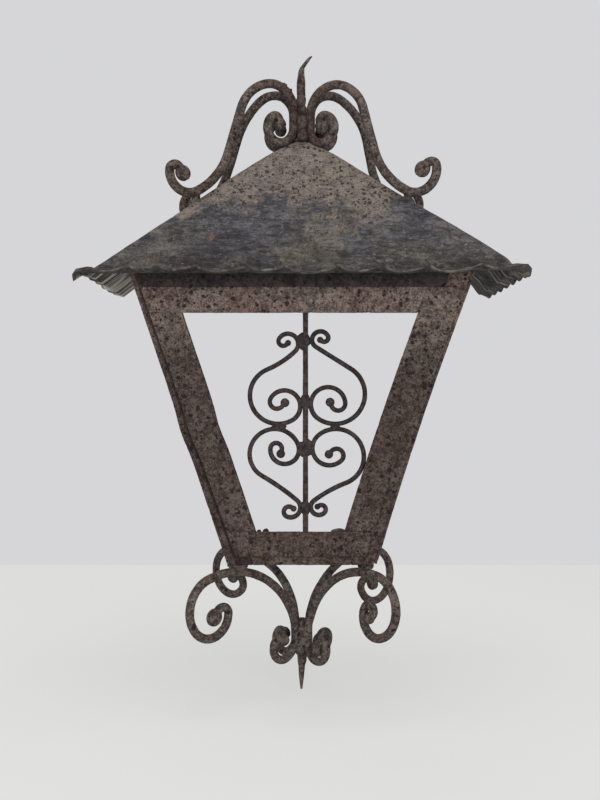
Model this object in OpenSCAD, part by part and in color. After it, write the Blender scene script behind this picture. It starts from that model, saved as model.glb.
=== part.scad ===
// Half wall lantern of wrought iron and sheet, with a flat open back.
// Millimetres. The origin is midway between the two wall screws, on the wall; +Z is up, the front faces -Y.

/* [Roof] */
// Width of the roof between the fold lines of its left and right edges
roof_w = 350; // [300:5:420]
// Depth of the roof from the wall to the fold line of its front edge
roof_d = 176; // [160:2:220]
// Height from the fold lines to the sharp peak where the slopes would meet
roof_h = 136; // [100:2:180]
// How far the rounded ridge falls short of that sharp peak
ridge_drop = 8.5; // [5:0.5:12]
// Share of each slope, next to the ridge, that the rounding takes
ridge_round = 0.07; // [0.04:0.01:0.12]
// Height of the fold lines above the wall screws
eave_z = -1; // [-6:1:6]
// Thickness of the roof sheet
roof_sheet = 1.5; // [1:0.1:2.5]
// Width of the ruffled edge outside the fold line at the sides
side_ruffle_w = 9; // [6:1:16]
// Width of the ruffled edge outside the fold line at the front
front_ruffle_w = 12; // [6:1:16]
// Height of one front ruffle from its hanging lobe to its cusp
front_ruffle_h = 9; // [3:0.5:14]
// Height of one side ruffle
side_ruffle_h = 5; // [2:0.5:10]
// How far the outer edge of the left ruffles is hammered up
left_ruffle_lift = 3; // [-4:0.5:5]
// How far the outer edge of the right ruffles is hammered up
right_ruffle_lift = -2; // [-4:0.5:5]
// Number of ruffles along the front edge
front_ruffles = 9; // [5:1:12]
// Number of ruffles along each side edge
side_ruffles = 7; // [3:1:9]

/* [Body] */
// Width of the body at the top edge of its front strips
body_top_w = 284; // [250:2:300]
// Width of the body at its bottom
body_bottom_w = 126; // [100:2:170]
// Height of the body from the top edge of its front strips to its bottom
body_h = 235; // [200:5:280]
// Depth of the body from the wall to the face of its front strips
body_d = 146; // [130:2:152]
// Drop from the roof's fold line to the top edge of the front strips
body_drop = 8.5; // [4:0.5:14]
// Leg of the angle-iron corner posts
post_leg = 18; // [12:1:22]
// Thickness of the angle iron
post_t = 2.5; // [2:0.5:4]
// Height of the flat bars that join the posts
bar_h = 18; // [12:1:22]
// Height of the thin bar across the back at the bottom
rear_bar_h = 9; // [6:1:16]

/* [Flat strips] */
// Thickness of the flat strips laid over the posts
strip_t = 2.5; // [1.5:0.5:4]
// Width of the left front upright
left_stile_w = 28; // [20:1:34]
// Width of the right front upright
right_stile_w = 25; // [20:1:32]
// Width of the front top strip
top_rail_h = 22; // [16:1:30]
// Width of the front bottom strip
bottom_rail_h = 21; // [16:1:30]
// Post edge left showing beside the left front strip at its top
left_margin = 5.5; // [3:0.5:12]
// The same at its bottom
left_margin_low = 9.5; // [3:0.5:12]
// Post edge left showing beside the right front strip
right_margin = 11; // [5:0.5:14]
// Bar edge left showing below the front bottom strip
bottom_margin = 7.5; // [3:0.5:12]
// Width of the uprights on the left and right sides
side_stile_w = 20; // [15:1:24]

/* [Top bars] */
// Height of the dark bar between the front strips and the roof
top_bar_h = 20; // [12:1:24]
// Thickness of that bar
top_bar_t = 2; // [1.5:0.5:2.5]
// Post edge left showing beyond the bar's rounded right end
top_bar_right_gap = 23; // [18:1:30]
// Radius of the bar's rounded right end
top_bar_round = 7; // [3:1:9]
// Clear length along the slant between the roof and the side top bars
side_bar_drop = 7.9; // [2:0.1:15]

/* [Grilles] */
// Side of the square upright bar of each grille
grille_bar = 4.6; // [3:0.2:6]
// Sideways place of the front grille's bar from the lantern's middle
front_bar_x = 3; // [-4:0.5:4]
// Diameter of the grille scrolls' wire
wire_d = 4; // [3:0.2:5]
// Drop of the level where the upper and lower scrolls meet, from the middle of the opening
grille_drop = 4; // [-4:0.5:8]
// Height of an upper scroll of the front grille
upper_scroll_h = 82; // [60:1:84]
// Height of a lower scroll of the front grille
lower_scroll_h = 78.5; // [60:0.5:80]
// Half of the difference between the hand-forged left and right scrolls
scroll_uneven = 1; // [0:0.25:2]
// Height of one scroll of the side grilles
side_scroll_h = 72; // [50:1:76]
// How far each grille bar reaches behind the strips at its ends
bar_tail = 9; // [4:1:10]

/* [Scrolled arms] */
// Distance of the arms' upright axis from the wall
stem_y = 90; // [84:1:94]
// Diameter of the top arms' round bar
arm_d = 8; // [6:0.5:9]
// Diameter of the bottom arms' round bar
low_arm_d = 7.4; // [6:0.2:9]
// Angle of the top arms from the sideways direction
top_arm_angle = 28; // [27:1:34]
// Angle of the left front bottom arm from the sideways direction
left_arm_angle = 41; // [38:1:50]
// Angle of the right front bottom arm from the sideways direction
right_arm_angle = 51; // [40:1:52]
// Angle of the two rear bottom arms from the sideways direction
rear_arm_angle = 44; // [38:1:44]
// Radius of the rolled eyes at the ends of the arms
arm_eye_r = 6; // [4.5:0.5:7]
// Size of the top arms, as a share of the forged pattern
top_arm_scale = 1; // [0.9:0.02:1.06]
// Size of the bottom arms, as a share of the forged pattern
bottom_arm_scale = 1; // [0.9:0.02:1.03]

/* [Spikes] */
// Diameter of the top spike between the arms
top_spike_d = 7.6; // [6:0.2:9]
// Height of the top spike above the ridge
top_spike_h = 77; // [60:1:95]
// Lean of the top spike's bent tip from upright
tip_bend = 34; // [0:1:45]
// Greatest diameter of the bottom spike
bottom_spike_d = 9; // [7:0.5:9]
// Length of the bottom spike
bottom_spike_h = 67; // [55:1:85]

/* [Wall strap] */
// Height of the strap across the back
strap_h = 25; // [18:1:30]
// Thickness of the strap and of the lower back bar
strap_t = 3; // [2:0.5:4]
// Distance between the two wall screws
screw_gap = 80; // [50:5:140]
// Diameter of the screw holes
screw_d = 6; // [4:0.5:8]
// Diameter of the hole for the wall cable
cable_d = 12; // [8:1:16]
// Diameter of the rivets' heads
rivet_d = 9; // [6:1:10]

/* [Lampholder] */
// Height of the bracket's raised middle above the roof's fold lines
bracket_rise = 62; // [50:2:80]
// Width of the bracket's strip
bracket_w = 18; // [14:1:24]
// Thickness of the bracket's strip
bracket_t = 2.5; // [2:0.5:4]
// Half width of the bracket's raised middle
bracket_half = 34; // [30:1:50]
// Diameter of the threaded tube
tube_d = 10; // [8:1:12]
// Bore of the threaded tube
tube_bore = 6.5; // [5:0.5:7]
// Diameter of the porcelain body
holder_d = 43; // [38:1:50]
// Height of the porcelain body
holder_h = 54; // [45:1:60]
// Inside diameter of the lamp's screw shell
shell_bore = 26.6; // [26:0.1:27.4]
// Depth of the screw shell
shell_h = 24; // [20:1:28]

/* [Hidden] */

seat = 0.1;          // clearance between round pieces that are welded together
curl_seat = 0.6;     // clearance under the top arms' curls, which the roof's ridge needs behind the spike
iron = "#4a403c";
sheet = "#5c5149";
strip_iron = "#5a4b45";

// Forged patterns. Each pair is [turn in degrees, radius]; a turn of 0 is a straight stretch of that length.
// A positive turn goes to the left of the way the bar runs.
left_top_in = [[58, 15.5], [183, 12.5], [118, 4.8]];
left_front_top_out = [[0, 15], [-110, 21], [-53, 37.5], [0, 44], [43, 64], [149, 15.5], [136, 4.8]];
left_rear_top_out = [[0, 11.5], [-125, 22.5], [-35, 63.5], [0, 27.5], [34, 91], [198, 13], [95, 4.8]];
right_top_in = [[48, 10], [185, 12], [128, 4.8]];
right_front_top_out = [[0, 17.2], [-112, 22], [-52, 34], [0, 42], [44, 65], [137, 17.5], [132, 5]];
right_rear_top_out = [[0, 16.2], [-116, 22], [-51, 52], [0, 21.5], [47, 70.5], [175, 15], [89, 6]];
left_bottom_in = [[65, 17.5], [159, 10.5], [70, 4.5]];
left_front_bottom_out = [[0, 5], [-27, 46], [-81, 75], [-107, 27], [-143, 19], [-144, 6]];
left_rear_bottom_out = [[0, 9], [-61, 55.5], [-40, 93.5], [-124, 21], [-88, 22], [-156, 7.5]];
right_bottom_in = [[43, 15.5], [140, 12.5], [145, 5.5]];
right_front_bottom_out = [[0, 6], [-19, 39.5], [-81, 79], [-149, 27.5], [-147, 16.5], [-126, 6]];
right_rear_bottom_out = [[0, 8], [-42, 56.5], [-60, 81.5], [-124, 25], [-109, 21], [-158, 7.5]];
upper_left_scroll = [[-166, 4], [-196, 9.5], [-20, 81], [187, 24], [208, 13.5], [175, 6]];
upper_right_scroll = [[155, 3.5], [207, 7.5], [0, 34.5], [-182, 25], [-230, 14.5], [-165, 6]];
lower_left_scroll = [[188, 5], [211, 12.5], [216, 22], [-10, 212], [-160, 8.5], [-120, 5]];
lower_right_scroll = [[-188, 6], [-187, 15], [-196, 24.5], [16, 115.5], [189, 7], [120, 4]];
upper_left_heading = 225;
upper_right_heading = -34;
lower_left_heading = 75;
lower_right_heading = 52;
big_eye_r = 3.6;     // rolled eye in a grille scroll's large end
small_eye_r = 2.7;   // rolled eye in its small end
arm_sides = 8;
wire_sides = 6;
arm_step = 24;       // degrees of turn between two rings of an arm
wire_step = 26;      // degrees of turn between two rings of a scroll
ring_gap = 13;       // greatest distance between two rings of a bent stretch
ruffle_steps = 6;    // points along one ruffle

panel_top = eave_z - body_drop;
body_bottom = panel_top - body_h;
taper = (body_top_w - body_bottom_w) / 2 / body_h;
tilt = atan(taper);
side_len = body_h / cos(tilt);
peak_z = eave_z + roof_h;
ridge_z = peak_z - ridge_drop;
front_reach = roof_d - stem_y;
side_slope = roof_h / (roof_w / 2);
front_slope = roof_h / front_reach;
roof_rise = roof_sheet / cos(atan(side_slope));   // sheet thickness measured straight up
leg_face = body_d - strip_t;                      // wall to the front face of the posts
opening_top = panel_top - top_rail_h;
rail_bottom = body_bottom + bottom_margin;
opening_bottom = rail_bottom + bottom_rail_h;
opening_mid = (opening_top + opening_bottom) / 2;
side_rear = strap_t;                              // wall to the rear face of the posts
arm_flat = cos(180 / arm_sides) / 2;              // axis to a flat of an eight-sided bar, as a share of its diameter
stem_r = max(top_spike_d / 2 + arm_d * arm_flat + seat, (arm_d + seat) / 2 / sin(top_arm_angle));
low_stem_r = max(bottom_spike_d / 2 + low_arm_d * arm_flat + seat, (low_arm_d + seat) / 2 / sin(left_arm_angle));

// Half width of the body at a height
function half_w(z) = body_bottom_w / 2 + taper * (z - body_bottom);
// Height of the roof's outside above a place given from the stem's axis
function roof_at(x, y) = peak_z - max(side_slope * abs(x), front_slope * abs(y));
function sign_of(a) = a < 0 ? -1 : 1;
function reversed(list) = [for (i = [len(list) - 1:-1:0]) list[i]];

// Place and heading, [x, y, heading], at a share of one [turn, radius] pair from place p
function on_arc(p, arc, share) =
    arc[0] == 0
    ? [p[0] + arc[1] * share * cos(p[2]), p[1] + arc[1] * share * sin(p[2]), p[2]]
    : let (s = sign_of(arc[0]), h = p[2] + arc[0] * share)
        [p[0] + s * arc[1] * (sin(h) - sin(p[2])), p[1] - s * arc[1] * (cos(h) - cos(p[2])), h];

// Every place along a whole pattern, scaled by k, a ring at least every step degrees
function run(p, arcs, k, step, i = 0) =
    i == len(arcs) ? []
    : let (arc = [arcs[i][0], arcs[i][1] * k], n = max(1, ceil(abs(arc[0]) / step),
            ceil(abs(arc[0]) * PI / 180 * arc[1] / ring_gap)))
        concat([for (j = [1:n]) on_arc(p, arc, j / n)], run(on_arc(p, arc, 1), arcs, k, step, i + 1));

// The same bar followed from its other end
function turned(path) = [for (p = reversed(path)) [p[0], p[1], p[2] + 180]];

// Rings of the rolled eye past the end of a bar: [x, y, heading, radius in the plane, radius across it]
function eye(p, bar_r, eye_r) =
    let (back = eye_r * sqrt(1 - pow(min(1, bar_r / eye_r), 2)))
    [for (a = [-15, 25, 60, 80])
        let (d = back + eye_r * sin(a))
        [p[0] + d * cos(p[2]), p[1] + d * sin(p[2]), p[2], eye_r * cos(a), min(eye_r, bar_r * 1.15) * pow(cos(a), 0.6)]];

// A bar of even thickness along a path, with a rolled eye at both ends
function bar_rings(path, bar_r, first_eye, last_eye) =
    concat(
        [for (r = reversed(eye(turned([path[0]])[0], bar_r, first_eye))) [r[0], r[1], r[2] + 180, r[3], r[4]]],
        [for (p = path) [p[0], p[1], p[2], bar_r, bar_r]],
        eye(path[len(path) - 1], bar_r, last_eye));

// Solid swept through rings that lie in one plane; the plane's third direction is +Z
module swept(rings, sides) {
    n = len(rings);
    pts = [for (r = rings) for (k = [0:sides - 1])
        let (a = 360 * (k + 0.5) / sides)
        [r[0] - r[3] * cos(a) * sin(r[2]), r[1] + r[3] * cos(a) * cos(r[2]), r[4] * sin(a)]];
    walls = [for (i = [0:n - 2]) for (k = [0:sides - 1])
        let (a = i * sides + k, b = i * sides + (k + 1) % sides)
        each [[a, a + sides, b + sides], [a, b + sides, b]]];
    ends = [for (k = [1:sides - 2])
        each [[0, k, k + 1], [(n - 1) * sides, (n - 1) * sides + k + 1, (n - 1) * sides + k]]];
    polyhedron(points = pts, faces = concat(walls, ends));
}

// Path of an arm: its inner curl, its stretch along the stem and its outer curl, from a place on the stem
function arm_path(inner, outer, k, r) =
    let (foot = [r, 0, 90])
    concat(turned(run([r, 0, -90], inner, k, arm_step)), [foot], run(foot, outer, k, arm_step));

function lowest(path) = min([for (p = path) p[1]]);
function highest(path) = max([for (p = path) p[1]]);
function leftmost(path) = min([for (p = path) p[0]]);
function rightmost(path) = max([for (p = path) p[0]]);
function height(path) = highest(path) - lowest(path);

left_front_top_path = arm_path(left_top_in, left_front_top_out, top_arm_scale, stem_r);
left_rear_top_path = arm_path(left_top_in, left_rear_top_out, top_arm_scale, stem_r);
right_front_top_path = arm_path(right_top_in, right_front_top_out, top_arm_scale, stem_r);
right_rear_top_path = arm_path(right_top_in, right_rear_top_out, top_arm_scale, stem_r);
left_front_bottom_path = arm_path(left_bottom_in, left_front_bottom_out, bottom_arm_scale, low_stem_r);
left_rear_bottom_path = arm_path(left_bottom_in, left_rear_bottom_out, bottom_arm_scale, low_stem_r);
right_front_bottom_path = arm_path(right_bottom_in, right_front_bottom_out, bottom_arm_scale, low_stem_r);
right_rear_bottom_path = arm_path(right_bottom_in, right_rear_bottom_out, bottom_arm_scale, low_stem_r);
// The top arms stand with their inner curls on the roof; the bottom arms touch the body from below
function top_stem_z(inner) =
    let (curl = turned(run([stem_r, 0, -90], inner, top_arm_scale, arm_step)), low = lowest(curl),
        r = [for (p = curl) if (p[1] == low) p[0]][0])
    roof_at(r * cos(top_arm_angle), r * sin(top_arm_angle)) - low + arm_d * arm_flat + curl_seat;
function low_stem_z(front, rear) = body_bottom - max(highest(front), highest(rear)) - low_arm_d * arm_flat - seat;
left_top_z = top_stem_z(left_top_in);
right_top_z = top_stem_z(right_top_in);
left_low_z = low_stem_z(left_front_bottom_path, left_rear_bottom_path);
right_low_z = low_stem_z(right_front_bottom_path, right_rear_bottom_path);

// An arm in its upright plane, turned out from the stem's axis
module arm(path, d, z, angle) {
    translate([0, -stem_y, z]) rotate([0, 0, angle]) rotate([90, 0, 0])
        swept(bar_rings(path, d / 2, arm_eye_r, arm_eye_r), arm_sides);
}

module top_arm(path, z, angle) { color(iron) arm(path, arm_d, z, angle); }
module bottom_arm(path, z, angle) { color(iron) arm(path, low_arm_d, z, angle); }

// Roof sheet. Its outline runs from the wall along the left edge, the front and the right edge.
left_n = side_ruffles * ruffle_steps;
front_n = front_ruffles * ruffle_steps;
edge_n = 2 * left_n + front_n;
function edge_xy(i) =
    i <= left_n ? [-roof_w / 2, -roof_d * i / left_n]
    : i <= left_n + front_n ? [-roof_w / 2 + roof_w * (i - left_n) / front_n, -roof_d]
    : [roof_w / 2, -roof_d * (edge_n - i) / left_n];
function edge_out(i) = [i <= left_n ? -1 : i >= left_n + front_n ? 1 : 0, i >= left_n && i <= left_n + front_n ? -1 : 0];
function wave(i) = 0.5 - abs(sin(180 * (i % ruffle_steps) / ruffle_steps));
function ruffle(i) =
    i == left_n || i == left_n + front_n ? 0
    : i < left_n ? left_ruffle_lift + side_ruffle_h * wave(i)
    : i > left_n + front_n ? right_ruffle_lift + side_ruffle_h * wave(i)
    : front_ruffle_h * wave(i);
function ridge_xy(i) = [0, max(edge_xy(i)[1], -stem_y)];
// Rows 0 to 2 are the ruffled edge, row 3 is the fold line's far side of the rounding, row 4 is the ridge
function roof_point(i, row) =
    let (e = edge_xy(i), o = edge_out(i), r = ridge_xy(i))
    row < 2 ? let (s = row == 0 ? 1 : 0.5)
        [e[0] + o[0] * side_ruffle_w * s, e[1] + o[1] * front_ruffle_w * s, eave_z + ruffle(i) * s * s]
    : row == 2 ? [e[0], e[1], eave_z]
    : row == 3 ? [e[0] * ridge_round, r[1] + (e[1] - r[1]) * ridge_round, peak_z - roof_h * ridge_round]
    : [0, r[1], ridge_z];
ridge_last = floor(left_n * stem_y / roof_d);     // last outline point whose ridge point is behind the stem
function ridge_id(i) = let (m = min(i, edge_n - i)) min(m, ridge_last + 1);
rows = 4;
sheet_n = rows * (edge_n + 1) + ridge_last + 2;
function roof_id(i, row) = row < rows ? row * (edge_n + 1) + i : rows * (edge_n + 1) + ridge_id(i);
function tri(a, b, c) = a == b || b == c || a == c ? [] : [[a, b, c]];
function flip(faces, shift) = [for (f = faces) [f[0] + shift, f[2] + shift, f[1] + shift]];

module roof() {
    top = concat(
        [for (row = [0:rows - 1]) for (i = [0:edge_n]) roof_point(i, row)],
        [for (i = [0:ridge_last]) roof_point(i, rows)], [[0, -stem_y, ridge_z]]);
    under = [for (p = top) [p[0], p[1], p[2] - roof_rise]];
    faces = [for (row = [0:rows - 1]) for (i = [0:edge_n - 1])
        let (a = roof_id(i, row), b = roof_id(i + 1, row), c = roof_id(i + 1, row + 1), d = roof_id(i, row + 1))
        each concat(tri(a, c, b), tri(a, d, c))];
    rim = concat(
        [for (i = [0:edge_n]) roof_id(i, 0)],
        [for (row = [1:rows]) roof_id(edge_n, row)],
        [for (row = [rows - 1:-1:1]) roof_id(0, row)]);
    walls = [for (k = [0:len(rim) - 1])
        let (a = rim[k], b = rim[(k + 1) % len(rim)])
        each [[a, b, b + sheet_n], [a, b + sheet_n, a + sheet_n]]];
    color(sheet) difference() {
        polyhedron(points = concat(top, under), faces = concat(faces, flip(faces, sheet_n), walls));
        translate([0, -stem_y, ridge_z - 10]) cylinder(h = 20, d = top_spike_d + 2 * seat, $fn = 48);
    }
}

// Top spike: a tail under the roof, a straight rod and a drawn, bent tip
spike_tail = 16;
module top_spike() {
    rod = top_spike_h * 0.5;
    draw = top_spike_h * 0.3;
    tip = top_spike_h - rod - draw;
    r = top_spike_d / 2;
    rings = [
        [0, -spike_tail, 90, r, r], [0, 0, 90, r, r], [0, rod, 90, r, r],
        [0, rod + draw * 0.5, 90, r * 0.9, r * 0.9], [0, rod + draw * 0.8, 90, r * 0.72, r * 0.72],
        [tip * 0.06 * tan(tip_bend), rod + draw, 90 - tip_bend * 0.5, r * 0.55, r * 0.55],
        [tip * 0.45 * tan(tip_bend), rod + draw + tip * 0.45, 90 - tip_bend, r * 0.45, r * 0.45],
        [tip * 0.92 * tan(tip_bend), rod + draw + tip, 90 - tip_bend, r * 0.25, r * 0.25]];
    color(iron) translate([0, -stem_y, ridge_z]) rotate([90, 0, 0]) swept(rings, arm_sides * 2);
}

// Washer between the ridge and the curls
foot_h = 4;
module spike_foot() {
    color(iron) translate([0, -stem_y, ridge_z]) difference() {
        cylinder(h = foot_h, d = top_spike_d + 6, $fn = 48);
        translate([0, 0, -1]) cylinder(h = foot_h + 2, d = top_spike_d + 2 * seat, $fn = 48);
    }
}

// Nut under the roof, pushed up against the front slope
nut_w = 14;
nut_h = 6;
module spike_nut() {
    top = roof_at(0, nut_w / 2) - roof_rise - seat;
    color(iron) translate([0, -stem_y, top - nut_h]) difference() {
        translate([-nut_w / 2, -nut_w / 2, 0]) cube([nut_w, nut_w, nut_h]);
        translate([0, 0, -1]) cylinder(h = nut_h + 2, d = top_spike_d + 2 * seat, $fn = 48);
    }
}

// Frame of the right side: its origin is the body's bottom right edge, its Z runs up the slanted side
// and its X points out of the side. The left side is its mirror image.
module on_side(side) {
    mirror([side < 0 ? 1 : 0, 0, 0])
        translate([body_bottom_w / 2, 0, body_bottom]) rotate([0, tilt, 0]) children();
}

// Space between the body's bottom and the underside of the roof's side slopes
module under_roof() {
    w = roof_w / 2;
    rotate([90, 0, 0]) linear_extrude(height = roof_d)
        polygon([[-w, body_bottom], [w, body_bottom], [w, eave_z - roof_rise],
            [0, peak_z - roof_rise], [-w, eave_z - roof_rise]]);
}

// Corner post of angle iron; its top is cut to the roof's slope and its foot is level
module post(side, face, inward) {
    color(iron) intersection() {
        on_side(side) translate([-strip_t, -face, -post_leg]) mirror([0, inward < 0 ? 1 : 0, 0])
            linear_extrude(height = side_len + 2 * post_leg + roof_h / 2) {
                translate([-post_leg, 0]) square([post_leg, post_t]);
                translate([-post_t, 0]) square([post_t, post_leg]);
            }
        under_roof();
    }
}

// Flat piece in an upright plane parallel to the wall: an outline in X and Z, from depth near to depth far
module plate(near, far) {
    translate([0, -near, 0]) rotate([90, 0, 0]) linear_extrude(height = far - near) children();
}

function leg_inner(z) = half_w(z) - (strip_t + post_leg) / cos(tilt);

// Bar between the legs of two posts
module cross_bar(low, high, near, far) {
    plate(near, far) polygon([[-leg_inner(low), low], [leg_inner(low), low],
        [leg_inner(high), high], [-leg_inner(high), high]]);
}

module top_bar_front() {
    left = half_w(panel_top) - left_margin - 2;
    right = half_w(panel_top) - top_bar_right_gap;
    color("#2b2523") plate(leg_face, leg_face + top_bar_t) {
        translate([-left, panel_top]) square([left + right - top_bar_round, top_bar_h]);
        translate([0, panel_top + top_bar_round]) square([right, top_bar_h - top_bar_round]);
        translate([right - top_bar_round, panel_top + top_bar_round]) circle(r = top_bar_round, $fn = 48);
    }
}

// Bar between the posts of one side, its lower edge at a distance along the slant
module side_bar(side, low, high) {
    color(iron) on_side(side) translate([-strip_t - post_t, -leg_face + post_leg, low])
        cube([post_t, leg_face - side_rear - 2 * post_leg, high - low]);
}

// Distance along the slant to where the outside of the posts meets the roof's underside
under_roof_len = (peak_z - roof_rise - body_bottom - side_slope * body_bottom_w / 2
    + strip_t * (side_slope * cos(tilt) - sin(tilt))) / (cos(tilt) + side_slope * sin(tilt));
top_bar_low = under_roof_len - side_bar_drop - bar_h;
module top_bar_side(side) { side_bar(side, top_bar_low, top_bar_low + bar_h); }
module bottom_bar_side(side) { side_bar(side, tilt_foot, bar_h); }
tilt_foot = (strip_t + post_t) * taper;           // keeps the slanted bar's lower corner above the bottom

module bottom_bar_front() { color(iron) cross_bar(body_bottom, body_bottom + bar_h, leg_face - post_t, leg_face); }

module bottom_bar_rear() {
    w = half_w(body_bottom) - strip_t;
    color(iron) plate(0, strap_t) translate([-w, body_bottom]) square([2 * w, rear_bar_h]);
}

// Edges of the front strips at a height; the left one is negative
function out_left(z) = -(half_w(z) - left_margin - (left_margin_low - left_margin) * (panel_top - z) / body_h);
function out_right(z) = half_w(z) - right_margin;
function in_left(z) = -half_w(z) + left_margin + left_stile_w;
function in_right(z) = out_right(z) - right_stile_w;

module front_plate() { color(strip_iron) plate(leg_face, body_d) children(); }

module front_stile_left() {
    front_plate() polygon([[out_left(opening_bottom), opening_bottom], [in_left(opening_bottom), opening_bottom],
        [in_left(opening_top), opening_top], [out_left(opening_top), opening_top]]);
}

module front_stile_right() {
    front_plate() polygon([[in_right(opening_bottom), opening_bottom], [out_right(opening_bottom), opening_bottom],
        [out_right(panel_top), panel_top], [in_right(panel_top), panel_top]]);
}

module front_rail_top() {
    front_plate() polygon([[out_left(opening_top), opening_top], [in_right(opening_top), opening_top],
        [in_right(panel_top), panel_top], [out_left(panel_top), panel_top]]);
}

module front_rail_bottom() {
    front_plate() polygon([[out_left(rail_bottom), rail_bottom], [out_right(rail_bottom), rail_bottom],
        [out_right(opening_bottom), opening_bottom], [out_left(opening_bottom), opening_bottom]]);
}

// Strip laid over one side, from a distance behind the posts' front face and from a length up the slant
module side_strip(side, behind, width, low, high) {
    color(strip_iron) on_side(side) translate([-strip_t, behind - leg_face, low]) cube([strip_t, width, high - low]);
}

side_w = leg_face - side_rear;
strip_foot = strip_t * taper;                     // keeps the slanted strips' lower corners above the bottom
side_open_low = strip_foot + bottom_rail_h;
side_open_high = side_len - top_rail_h;
module side_stile_front(side) { side_strip(side, 0, side_stile_w, strip_foot, side_len); }
module side_stile_rear(side) { side_strip(side, side_w - side_stile_w, side_stile_w, strip_foot, side_len); }
module side_rail(side, low, high) { side_strip(side, side_stile_w, side_w - 2 * side_stile_w, low, high); }
module side_rail_top(side) { side_rail(side, side_open_high, side_len); }
module side_rail_bottom(side) { side_rail(side, strip_foot, side_open_low); }

// One grille scroll in its plane. It is scaled to height h, pushed against the bar at X = 0 and set
// above (up = 1) or below (up = -1) the level Y = 0. side is -1 left of the bar and 1 right of it.
module scroll(arcs, heading, h, side, up, eyes) {
    plain = concat([[0, 0, heading]], run([0, 0, heading], arcs, 1, wire_step));
    k = (h - wire_d) / height(plain);
    path = concat([[0, 0, heading]], run([0, 0, heading], arcs, k, wire_step));
    reach = wire_d / 2 + seat;
    x = side < 0 ? -grille_bar / 2 - reach - rightmost(path) : grille_bar / 2 + reach - leftmost(path);
    y = up > 0 ? reach - lowest(path) : -reach - highest(path);
    translate([x, y, 0]) swept(bar_rings(path, wire_d / 2, eyes[0] * k, eyes[1] * k), wire_sides);
}

small_first = [small_eye_r, big_eye_r];
big_first = [big_eye_r, small_eye_r];

// Plane of the front grille: X to the right, Y up, Z towards the viewer
module on_front_grille() {
    translate([front_bar_x, -leg_face + grille_bar / 2, opening_mid - grille_drop]) rotate([90, 0, 0]) children();
}

module front_scroll(arcs, heading, h, side, up, eyes) {
    color(iron) on_front_grille() scroll(arcs, heading, h, side, up, eyes);
}

module front_grille_bar() {
    color(iron) translate([front_bar_x - grille_bar / 2, -leg_face, opening_bottom - bar_tail])
        cube([grille_bar, grille_bar, opening_top - opening_bottom + 2 * bar_tail]);
}

side_mid_y = -(leg_face + side_rear) / 2;

// Plane of a side grille: X towards the wall on the right side, Y up the slant, Z out of the side
module on_side_grille(side) {
    on_side(side) translate([-strip_t - grille_bar / 2, side_mid_y, (side_open_low + side_open_high) / 2])
        rotate([90, 0, 90]) children();
}

module side_grille_bar(side) {
    color(iron) on_side(side)
        translate([-strip_t - grille_bar, side_mid_y - grille_bar / 2, max(bar_h, side_open_low - bar_tail)])
            cube([grille_bar, grille_bar, side_open_high + bar_tail - max(bar_h, side_open_low - bar_tail)]);
}

module side_scrolls_upper(side) {
    color(iron) on_side_grille(side) {
        scroll(upper_left_scroll, upper_left_heading, side_scroll_h, -1, 1, small_first);
        scroll(upper_right_scroll, upper_right_heading, side_scroll_h, 1, 1, small_first);
    }
}

module side_scrolls_lower(side) {
    color(iron) on_side_grille(side) {
        scroll(lower_left_scroll, lower_left_heading, side_scroll_h, -1, -1, big_first);
        scroll(lower_right_scroll, lower_right_heading, side_scroll_h, 1, -1, big_first);
    }
}

// Remains of the tabs that held a glass pane behind the front strips: [place from the left, width, height]
clips = [[1, 3.5, 1.5], [6, 5, 2.5], [-12, 12, 2.5]];
clip_t = 1.2;
module glass_clips() {
    color(iron) for (c = clips)
        translate([c[0] > 0 ? in_left(opening_bottom) + c[0] : in_right(opening_bottom) + c[0] - 1,
                -leg_face, opening_bottom - bar_tail])
            cube([c[1], clip_t, bar_tail + c[2]]);
}

module wall_strap() {
    w = half_w(-strap_h / 2) - strip_t;
    color(iron) difference() {
        plate(0, strap_t) translate([-w, -strap_h / 2]) square([2 * w, strap_h]);
        for (x = [-screw_gap / 2, screw_gap / 2])
            translate([x, 1, 0]) rotate([90, 0, 0]) cylinder(h = strap_t + 2, d = screw_d, $fn = 48);
        translate([0, 1, 0]) rotate([90, 0, 0]) cylinder(h = strap_t + 2, d = cable_d, $fn = 48);
    }
}

// Rivet heads inside, on the rear legs of the posts behind the strap
module strap_rivets() {
    color(iron) for (s = [-1, 1])
        translate([s * (half_w(0) - (strip_t + post_leg / 2) / cos(tilt)), -side_rear - post_t, 0])
            rotate([90, 0, 0]) cylinder(h = 2.4, d1 = rivet_d, d2 = rivet_d * 0.6, $fn = 48);
}

module bottom_spike() {
    r = bottom_spike_d / 2;
    swell = bottom_spike_h * 0.53;
    top = left_low_z + 20;
    color(iron) translate([0, -stem_y, top - bottom_spike_h]) rotate_extrude($fn = 48)
        polygon([[0, 0], [0.7, 0], [r * 0.55, (bottom_spike_h - swell) * 0.5], [r, bottom_spike_h - swell],
            [r, bottom_spike_h - 2], [r * 0.5, bottom_spike_h], [0, bottom_spike_h]]);
}

// Lamp bracket: feet on the side bars, legs that rise with the roof and a level middle
foot_z = body_bottom + (top_bar_low + bar_h) * cos(tilt) + (strip_t + post_t) * sin(tilt) + seat;
middle_z = eave_z + bracket_rise;
module lamp_bracket() {
    far = half_w(foot_z) - (strip_t + seat) / cos(tilt);
    near = far - 16;
    upper = [[-far, foot_z], [-near, foot_z], [-bracket_half, middle_z], [bracket_half, middle_z],
        [near, foot_z], [far, foot_z]];
    color(iron) difference() {
        plate(stem_y - bracket_w / 2, stem_y + bracket_w / 2)
            polygon(concat([for (p = reversed(upper)) [p[0], p[1] + bracket_t]], upper));
        translate([0, -stem_y, middle_z - 1]) cylinder(h = bracket_t + 2, d = tube_d + 2 * seat, $fn = 48);
    }
}

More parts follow.
